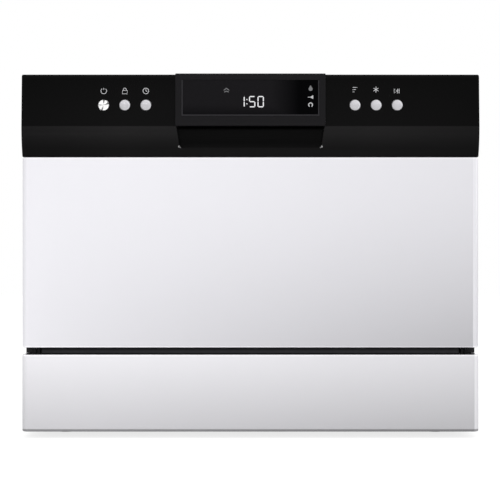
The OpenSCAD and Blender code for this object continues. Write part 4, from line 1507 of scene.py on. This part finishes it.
@dataclass
class HoseFittings:
    """The water inlet with its thread, the drain spigot with its barbs, and the cord gland.

    Attributes:
        inlet_at, spigot_at, gland_at: X and Z of each fitting, and Y of the inlet's face.
        block: Half width and half height of the valve's block, its gap to the face and its edge radius.
        neck: Distance of its neck from that face, the neck's foot over the port, its radius and its edge.
        major, minor, bore: Radius of the inlet thread's crest and root and of its bore, in millimetres.
        pitch, turns: Pitch of that thread, and its turns.
        barbs: Number of barbs on the spigot.
    """

    inlet_at: Triple = mm(-190, 95, 237)
    block: tuple[float, ...] = mm(22, 20, 2, 2)
    neck: tuple[float, ...] = mm(25, 19, 12, 1.2)
    pitch: float = 1.814 * MM
    major: float = 13.2
    minor: float = 12.2
    bore: float = 9
    turns: float = 5.6
    spigot_at: Pair = mm(195, 95)
    barbs: int = 4
    gland_at: Pair = mm(-120, 95)

    def inlet(self) -> None:
        """Makes the inlet valve: its block, its neck and its threaded port."""
        lo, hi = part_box("inlet_valve")
        x, z, back = self.inlet_at
        wide, high, gap, edge = self.block
        form = Form().block((x - wide, lo.y, z - high), (x + wide, back - gap, z + high), edge, 3)
        ahead, foot, radius, edge = self.neck
        form.rod((x, back - ahead, z + foot), (x, back - ahead, hi.z), radius, 32, edge)
        bore, root = self.bore, self.minor
        wall = flat((bore, -2.5), (bore, 12.2), (bore + 0.8, 13), (root - 0.6, 13), (root, 12.4),
                    (root, -2.5), (bore, -2.5))
        form.lathe(wall, (x, back, z), 48)
        steps = int(self.turns * 32)
        count = len(form.bm.verts)
        crest = flat((root - 0.1, 0), (self.major, 0.62), (self.major, 0.82), (root - 0.1, 1.44))
        verts = [form.bm.verts.new((x, back + 0.9 * MM + h, z + r)) for r, h in crest]
        edges = [form.bm.edges.new((verts[i], verts[(i + 1) % 4])) for i in range(4)]
        bmesh.ops.spin(form.bm, geom=[*verts, *edges], cent=(x, back, z), axis=Axis.Y.value, steps=steps,
                       angle=self.turns * 2 * math.pi, dvec=(0, self.pitch * self.turns / steps, 0))
        ends = {e for v in list(form.bm.verts)[count:] for e in v.link_edges if e.is_boundary}
        bmesh.ops.holes_fill(form.bm, edges=list(ends), sides=4)
        form.close(count)
        form.piece("inlet_valve_made", "cabinet", PALETTE.white, ["inlet_valve"])

    def spigot(self) -> None:
        """Turns the drain spigot with its flange and its barbs."""
        bore, root, outer, flange, length = 6, 8.6, 9.5, 15, self.length("drain_spigot")
        profile = [(bore, 0), (root, 0), (root, 4), (flange, 4), (flange, 7), (root, 7), (root, 9),
                   (outer, 9), (outer, 10)]
        step = (length - 11) / self.barbs
        for number in range(self.barbs):
            base = 10.2 + number * step
            profile += [(root, base), (outer, base + 0.4), (root + 0.1, base + step - 0.1)]
        profile += [(root - 0.5, length), (bore + 0.3, length), (bore, length - 0.3), (bore, 0)]
        self.turned("drain_spigot_barbed", PALETTE.grey, "drain_spigot", profile, self.spigot_at, 48)

    def gland(self) -> None:
        """Turns the cord gland with its two flanges and its soft mouth."""
        bore, neck, flange, length = 4, 8, 11, self.length("cord_gland")
        profile = [(bore, 0), (neck, 0), (neck, 6), (flange, 6), (flange, 9), (neck, 9), (neck, 10),
                   (flange, 10), (flange, 12.2), (flange - 0.8, 13), (neck, 13), (neck - 0.4, 15),
                   (neck - 0.2, 16), (neck - 1.2, 17), (neck - 1.4, 19), (bore + 0.8, length),
                   (bore, length - 0.8), (bore, 0)]
        self.turned("cord_gland_turned", PALETTE.dark, "cord_gland", profile, self.gland_at, 40)

    def length(self, node: str) -> float:
        """Gives how long a fitting is from front to back, in millimetres."""
        lo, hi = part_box(node)
        return (hi.y - lo.y) / MM

    def turned(self, name: str, look: Finish, node: str, profile: Sequence[Pair], place: Pair,
               sides: int) -> None:
        """Turns one fitting of the back.

        Args:
            name: Name of the piece.
            look: Its finish.
            node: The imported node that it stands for.
            profile: Its radii and depths in millimetres.
            place: X and Z of its axis.
            sides: Faces round it.
        """
        x, z = place
        form = Form().lathe(flat(*profile), (x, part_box(node)[0].y, z), sides)
        form.piece(name, "cabinet", look, [node])

    def build(self) -> None:
        """Makes the fittings."""
        self.inlet()
        self.spigot()
        self.gland()


@dataclass
class Base(Assembly):
    """The pumps, the heater, the pipes and the board in the base."""

    soft: tuple[Soft, ...] = (
        (PALETTE.dark, 1.0, 2, "wash_pump"),
        (PALETTE.amber, 0.4, 2, "wash_impeller"),
        (PALETTE.dark, 0.8, 2, "drain_pump"),
        (PALETTE.steel, 0.6, 2, "flow_heater"),
        (PALETTE.grey, 0.4, 2, "inlet_pipe drain_pipe"),
        (PALETTE.white, 0.5, 2, "air_break"),
        (PALETTE.board, 0.3, 2, "power_board"),
        (PALETTE.white, 0.8, 2, "leak_float"),
        (PALETTE.grey, 0.6, 2, "sump"))


@dataclass
class Tub(Assembly):
    """The steel tub with its seal, its rails, its filters and its spray arm.

    Attributes:
        lip_r, strip_r: Radius of one lip of the seal, and of the flat strip that carries the lips.
        insets: How far in the outer lip, the strip and the inner lip run.
        corner: Radius of the seal's corners.
    """

    soft: tuple[Soft, ...] = (
        (PALETTE.steel, 0.35, 2, "tub"),
        (PALETTE.steel, 0.4, 2, "rack_rails"),
        (PALETTE.sieve, 0.3, 2, "filter_plate"),
        (PALETTE.grey, 0.4, 2, "filter_cylinder"),
        (PALETTE.grey, 1.2, 3, "spray_arm"),
        (PALETTE.zinc, 0.3, 2, "latch_keeper"))
    lip_r: float = 1.8 * MM
    strip_r: float = 1.2 * MM
    insets: Triple = mm(2, 3.15, 4.5)
    corner: float = 27 * MM

    def seal(self) -> None:
        """Makes the seal: two round lips on a flat strip."""
        lo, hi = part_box("door_seal")
        form = Form()
        lip, strip = (self.lip_r, lo.y + self.lip_r), (self.strip_r, hi.y - self.strip_r)
        for inset, (radius, y) in zip(self.insets, (lip, strip, lip)):
            line = rim(((lo.x, lo.z), (hi.x, hi.z)), y, self.corner - inset, 10, inset)
            form.wire(line, radius, 10, True)
        form.piece("door_seal_lips", "cabinet", PALETTE.rubber, ["door_seal"])

    def build(self) -> None:
        """Makes the pieces of the tub."""
        self.seal()
        super().build()


@dataclass
class DoorInside(Assembly):
    """The steel liner with its pressed dish, the dispenser, the latch and the hinges.

    Attributes:
        dish, dish_r: The dish's lowest and highest corner, as X and Z, and its corners' radius.
        rise: How far it stands out of the liner.
        play: How far its foot is drawn in, and how far over the liner it starts.
        fillet, turns: Radius of its edge, and the angles of the rows in that edge.
        sheet: Thickness of the steel.
        narrow, shoulder: Half width of the liner's lower part, and the height at which it widens.
        window: The opening for the dispenser, as X and Z.
    """

    soft: tuple[Soft, ...] = (
        (PALETTE.rubber, 0.3, 2, "sill_seal"),
        (PALETTE.light, 0.7, 3, "dispenser_housing"),
        (PALETTE.light, 0.5, 3, "dispenser_lid"),
        (PALETTE.grey, 0.6, 3, "rinse_aid_cap"),
        (PALETTE.white, 0.8, 2, "latch_housing"),
        (PALETTE.zinc, 0.3, 2, "latch_hook"),
        (PALETTE.coated, 0.3, 2, "hinge_brackets hinge_arms"))
    dish: Opening = (mm(-235, 165), mm(235, 405))
    dish_r: float = 15 * MM
    rise: float = 4 * MM
    play: Pair = mm(0.4, 0.2)
    fillet: float = 2.2 * MM
    turns: tuple[float, ...] = (20, 40, 60, 75, 90)
    sheet: float = 0.9 * MM
    narrow: float = 252 * MM
    shoulder: float = 170 * MM
    window: Opening = (mm(-73, 202), mm(68, 283))

    def ring(self, inset: float, y: float) -> list[Vector]:
        """Gives the dish's outline at one depth, drawn in by a distance."""
        return rim(self.dish, y, max(self.dish_r - inset, MM), 6, inset)

    def liner(self) -> None:
        """Makes the liner: a flat plate that is narrower at its foot, and the flange there."""
        lo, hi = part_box("door_liner")
        y, narrow, wide, shoulder = hi.y - self.rise, self.narrow, (hi.x - lo.x) / 2, self.shoulder
        outline = [(-narrow, lo.z), (narrow, lo.z), (narrow, shoulder), (wide, shoulder), (wide, hi.z),
                   (-wide, hi.z), (-wide, shoulder), (-narrow, shoulder)]
        form = Form().prism(outline, Axis.Y, y, y + self.sheet)
        form.block((-narrow, lo.y, lo.z), (narrow, y + self.sheet / 2, lo.z + self.sheet), 0.3 * MM)
        form.pierce(self.window, y - MM, hi.y + MM)
        form.pierce(LATCH_SLOT, y - 5 * MM, y + 5 * MM)
        form.piece("door_liner_sheet", "door", PALETTE.steel, ["door_liner"], 0.2 * MM)

    def pressed_dish(self) -> None:
        """Makes the dish with its round edge."""
        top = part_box("door_liner")[1].y
        foot, over = self.play
        rows = [(foot, top - self.rise + over), (foot, top - self.fillet)]
        for a in map(math.radians, self.turns):
            rows.append((foot + self.fillet * (1 - math.cos(a)), top - self.fillet * (1 - math.sin(a))))
        form = Form()
        ring = [form.bm.verts.new(p) for p in self.ring(*rows[0])]
        edges = [form.bm.edges.new((ring[i - 1], ring[i])) for i in range(len(ring))]
        for row in rows[1:]:
            verts, edges = form.carry(edges)
            for vert, point in zip(sorted(verts, key=lambda v: v.index), self.ring(*row)):
                vert.co = point
        bmesh.ops.edgeloop_fill(form.bm, edges=edges)
        bmesh.ops.recalc_face_normals(form.bm, faces=form.bm.faces)
        bmesh.ops.solidify(form.bm, geom=form.bm.faces, thickness=self.sheet)
        form.pierce(self.window, top - self.rise - 3 * MM, top + MM)
        form.piece("door_liner_dish", "door", PALETTE.steel)

    def build(self) -> None:
        """Makes the pieces on the inner side of the door."""
        self.liner()
        self.pressed_dish()
        super().build()


@dataclass
class DoorSprings:
    """The two tension springs that balance the door.

    Attributes:
        x, pins: X of the right spring, and the heights of its two pins.
        coil_r, wire_r: Radius of the coil to the middle of its wire, and of the wire.
        turns, sides: Turns of the coil, and stretches in one turn.
        loop_r, loop_h: Radius of the end loops, and distance from a pin to the coil.
        stretch: Heights between which it would stretch with the door; it is not used.
    """

    x: float = 268 * MM
    pins: Pair = mm(32, 99)
    coil_r: float = 3.6 * MM
    wire_r: float = 0.75 * MM
    turns: int = 26
    sides: int = 12
    loop_r: float = 3.1 * MM
    loop_h: float = 6 * MM
    stretch: Pair = mm(90, 97.5)

    def line(self, y: float) -> list[Triple]:
        """Gives the middle of the wire, from the lower loop to the upper one.

        Args:
            y: Y of the spring.

        Returns:
            The points of the line.
        """
        low, high = self.pins
        foot, height = low + self.loop_h, high - low - 2 * self.loop_h
        count = self.turns * self.sides
        coil = arc((self.x, y), self.coil_r, 90, 90 + 360 * self.turns, count)
        return [*((self.x, *p) for p in arc((y, low), self.loop_r, -200, 70, self.sides)),
                *((*p, foot + height * i / count) for i, p in enumerate(coil)),
                *((self.x, *p) for p in arc((y, high), self.loop_r, 290, 20, self.sides))]

    def build(self) -> None:
        """Winds both springs and leaves them fixed in place, on no body."""
        lo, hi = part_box("door_springs")
        y = (lo.y + hi.y) / 2
        form = Form().wire(self.line(y), self.wire_r, 6).mirrored()
        piece = form.piece("door_spring_coils", "cabinet", PALETTE.coated, ["door_springs"])
        piece.parent = None
        del piece["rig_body"]
        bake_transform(piece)


@dataclass
class DishRack(Assembly):
    """The wire rack with its wheels, its cup shelves and its basket.

    Attributes:
        wire_r, bend: Radius of the rack's wires and of their bends.
        floor_x, rim_x: Half width of the floor and of the rim, to the middle of the wires.
        floor_y, rim_y: Their fronts and rears.
        floor_z, rim_z: Their heights.
        layers: How far over the floor's long wires the cross wires and the plate rows' wires lie.
        inset: How far the outermost wires stand in from the sides and from the ends.
        columns, rows: Gaps between the wires that run from front to back, and across.
        tine_x, tine_y, tine_z: X of each plate row, Y of its prongs, and their top.
        base_y: Front and rear of the wire that carries a row.
        rings: Share of the height, corner and wire radius, and faces round each level ring.
        shelf_z, shelf_x: Height of the cup shelves, and X of their pivot wires.
        shelf_r, shelf_bend, pivot_r: Radius of their wires, of their bends and of their pivot wires.
        shelf_y, shelf_lines: Y of their cross wires, and places of their long wires.
    """

    soft: tuple[Soft, ...] = (
        (PALETTE.light, 0.7, 2, "rack_fittings"),
        (PALETTE.light, 0.5, 2, "rack_wheels_mid rack_wheels_rear"),
        (PALETTE.light, 0.45, 2, "cutlery_basket"))
    wire_r: float = 1.55 * MM
    bend: float = 9 * MM
    floor_x: float = 216.2 * MM
    rim_x: float = 228.2 * MM
    floor_y: Pair = (-141 * MM, 166 * MM)
    rim_y: Pair = (-181.2 * MM, 179.4 * MM)
    floor_z: float = 179.7 * MM
    rim_z: float = 289.9 * MM
    layers: Pair = mm(1.2, 3.2)
    inset: Pair = mm(12, 8)
    columns: int = 14
    rows: int = 10
    tine_x: tuple[float, ...] = mm(-190, -130, -70, -10)
    tine_y: tuple[float, ...] = mm(*range(-100, 125, 32))
    tine_z: float = 233.2 * MM
    base_y: Pair = mm(-128, 150)
    rings: tuple[tuple[float, ...], ...] = ((1.0, 26, 2.0, 10), (0.5, 20, 1.55, 8), (0.16, 14, 1.55, 8))
    shelf_z: float = 298 * MM
    shelf_x: float = 226 * MM
    shelf_r: float = 1.45 * MM
    shelf_bend: float = 7 * MM
    pivot_r: float = 1.75 * MM
    shelf_y: tuple[float, ...] = mm(-76.5, -42.5, -8.5, 25.5, 59.5, 93.5)
    shelf_lines: Pair = mm(32, 64)

    def ring(self, share: float, radius: float) -> list[Vector]:
        """Gives a level ring of the walls.

        Args:
            share: Its height, where 0 is the floor and 1 the rim.
            radius: Radius of its corners.

        Returns:
            The points of the ring.
        """
        x = self.floor_x + (self.rim_x - self.floor_x) * share
        y0, y1 = (a + (b - a) * share for a, b in zip(self.floor_y, self.rim_y))
        z = self.floor_z + (self.rim_z - self.floor_z) * share
        return rounded([(-x, y0, z), (x, y0, z), (x, y1, z), (-x, y1, z)], radius, 6, True)

    def lengthwise(self, form: Form) -> None:
        """Adds the wires that run down the front, along the floor and up the back.

        Args:
            form: The rack in the making.
        """
        low, high = self.floor_x - self.inset[0], self.rim_x - self.inset[0]
        step = 2 * low / self.columns
        for number in range(self.columns + 1):
            x = step * number - step * self.columns / 2
            lift = x * high / low
            corners = [(lift, self.rim_y[0], self.rim_z), (x, self.floor_y[0], self.floor_z),
                       (x, self.floor_y[1], self.floor_z), (lift, self.rim_y[1], self.rim_z)]
            form.wire(rounded(corners, self.bend, 4), self.wire_r, 6)

    def crosswise(self, form: Form) -> None:
        """Adds the wires that run down one side, across the floor and up the other side.

        Args:
            form: The rack in the making.
        """
        first, last = self.floor_y[0] + self.inset[1], self.floor_y[1] - self.inset[1]
        low = self.floor_z + self.layers[0]
        for number in range(self.rows + 1):
            y = first + (last - first) / self.rows * number
            corners = [(-self.rim_x, y, self.rim_z), (-self.floor_x, y, low), (self.floor_x, y, low),
                       (self.rim_x, y, self.rim_z)]
            form.wire(rounded(corners, self.bend, 4), self.wire_r, 6)

    def tines(self, form: Form) -> None:
        """Adds the plate rows: upright prongs on a wire of their own.

        Args:
            form: The rack in the making.
        """
        base = self.floor_z + self.layers[1]
        for x in self.tine_x:
            form.wire([(x, y, base) for y in self.base_y], self.wire_r, 6)
            for y in self.tine_y:
                form.wire([(x, y, base), (x, y, self.tine_z - MM), (x, y, self.tine_z)], self.wire_r, 8)

    def rack(self) -> None:
        """Makes the rack of bent wires."""
        form = Form()
        self.lengthwise(form)
        self.crosswise(form)
        self.tines(form)
        for share, corner, radius, sides in self.rings:
            form.wire(self.ring(share, corner * MM), radius * MM, sides, True)
        form.piece("rack_wires", "rack", PALETTE.nylon, ["rack"])

    def shelf(self, side: Side) -> None:
        """Makes one folding cup shelf.

        Args:
            side: Which one.
        """
        node = "cup_shelf_" + side.name.lower()
        lo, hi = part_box(node)
        z, radius = self.shelf_z, self.shelf_r
        reach = min(abs(lo.x), abs(hi.x)) + radius
        outer, inner = side.value * self.shelf_x, side.value * reach
        y0, y1 = lo.y + radius, hi.y - radius
        corners = [(inner, y0, z), (outer, y0, z), (outer, y1, z), (inner, y1, z)]
        form = Form().wire(rounded(corners, self.shelf_bend, 5, True), radius, 8, True)
        form.rod((outer, lo.y, z), (outer, hi.y, z), self.pivot_r, 16, 0.4 * MM)
        for y in self.shelf_y:
            form.wire([(inner, y, z), (outer, y, z)], radius, 8)
        for line in self.shelf_lines:
            x = side.value * (reach + line)
            form.wire([(x, y0, z), (x, y1, z)], radius * 0.8, 8)
        form.piece(node + "_wires", node, PALETTE.nylon, [node])

    def build(self) -> None:
        """Makes the rack and all that it carries."""
        self.rack()
        for side in Side:
            self.shelf(side)
        super().build()


@dataclass
class Studio:
    """A white room with plain soft light, and the camera of the photograph.

    Attributes:
        distance: From the front of the machine to the camera.
        eye, aside: The camera's height and X.
        lens, sensor: Its focal length and the width of its sensor, in millimetres.
        room, glow: Strength of the room's light on the machine, and of the floor's where it is seen.
        pale: Least and greatest tone of the floor.
        lamps: Name, place, aim, width and power of each lamp, and whether gloss mirrors it.
    """

    distance: float = 2.0
    eye: float = 0.2264
    aside: float = -0.0005
    lens: float = 119.78
    sensor: float = 36
    room: float = 0.5
    glow: float = 0.78
    pale: Pair = (0.49, 0.51)
    lamps: tuple[tuple[str, Triple, Triple, float, float, bool], ...] = (
        ("key_lamp", (-0.3, -2.7, 0.8), (0, -0.24, 0.2), 1.2, 31.0, False),
        ("side_lamp", (1.9, -0.3, 0.7), (0.2, -0.1, 0.2), 0.8, 3.5, True),
        ("rear_lamp", (0.9, 1.6, 1.3), (0, 0.2, 0.2), 1.2, 6.0, True))

    def light(self) -> None:
        """Hangs the soft square lamps."""
        for name, place, aim, size, power, mirrored in self.lamps:
            data = bpy.data.lights.new(name, "AREA")
            data.shape = "SQUARE"
            data.size = size
            data.energy = power
            made = bpy.data.objects.new(name, data)
            made.location = place
            made.visible_glossy = mirrored
            made.rotation_euler = (Vector(aim) - Vector(place)).to_track_quat("-Z", "Y").to_euler()
            bpy.context.scene.collection.objects.link(made)

    def camera(self) -> None:
        """Sets the camera up at the photograph's distance and height, level and square on."""
        data = bpy.data.cameras.new("photo_camera")
        data.sensor_width = self.sensor
        data.lens = self.lens
        data.clip_end = 50
        made = bpy.data.objects.new("photo_camera", data)
        made.location = (self.aside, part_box("door_skin")[0].y - self.distance, self.eye)
        made.rotation_euler = (math.pi / 2, 0, 0)
        bpy.context.scene.collection.objects.link(made)
        bpy.context.scene.camera = made

    def seen(self, nodes: Nodes) -> Socket:
        """Gives 1 for rays that show the background itself: straight, mirrored or through glass."""
        rays = nodes.add("LightPath").outputs
        return nodes.math("MAXIMUM", rays["Is Transmission Ray"], nodes.math(
            "MAXIMUM", rays["Is Camera Ray"], rays["Is Glossy Ray"]))

    def sky(self) -> None:
        """Makes the room white where it is seen and of a plain strength where it lights."""
        world = bpy.data.worlds.new("studio_room")
        nodes = Nodes(world)
        strength = nodes.band(self.seen(nodes), self.room, 1.0)
        light = nodes.add("Background", {"Color": (1, 1, 1, 1), "Strength": strength})
        nodes.add("OutputWorld", {"Surface": light.outputs[0]})
        bpy.context.scene.world = world

    def floor(self) -> None:
        """Lays a pale floor that is white where it is seen and keeps the machine's shadow."""
        form = Form()
        bmesh.ops.create_grid(form.bm, x_segments=1, y_segments=1, size=6)
        mesh = bpy.data.meshes.new("studio_floor")
        form.bm.to_mesh(mesh)
        form.bm.free()
        made = bpy.data.objects.new("studio_floor", mesh)
        bpy.context.scene.collection.objects.link(made)
        nodes = Nodes(bpy.data.materials.new("studio_floor_white"))
        pale = nodes.ramp(nodes.noise(nodes.place(), 3, 2), [(n, (v,) * 3) for n, v in enumerate(self.pale)])
        matt = nodes.add("BsdfDiffuse", {"Color": pale}).outputs[0]
        strength = nodes.band(self.seen(nodes), 0.0, self.glow)
        glow = nodes.add("Emission", {"Color": (1, 1, 1, 1), "Strength": strength}).outputs[0]
        mesh.materials.append(nodes.finish(nodes.add("AddShader", {0: matt, 1: glow}).outputs[0]))

    def build(self) -> None:
        """Sets up the camera, the room, the floor and the lamps."""
        self.camera()
        self.sky()
        self.floor()
        self.light()
        bpy.context.scene.view_settings.view_transform = "Standard"


def main() -> None:
    """Builds the studio and every sub-assembly in order."""
    logging.basicConfig(level=logging.INFO, format="%(name)s: %(message)s")
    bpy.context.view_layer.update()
    for part in (Studio, DoorSkin, KickPlate, ControlPanel, DisplayBlock, Cabinet, HoseFittings, Base, Tub,
                 DoorInside, DoorSprings, DishRack):
        part().build()
        log.info("%s is done", part.__name__)


if __name__ == "__main__":
    main()
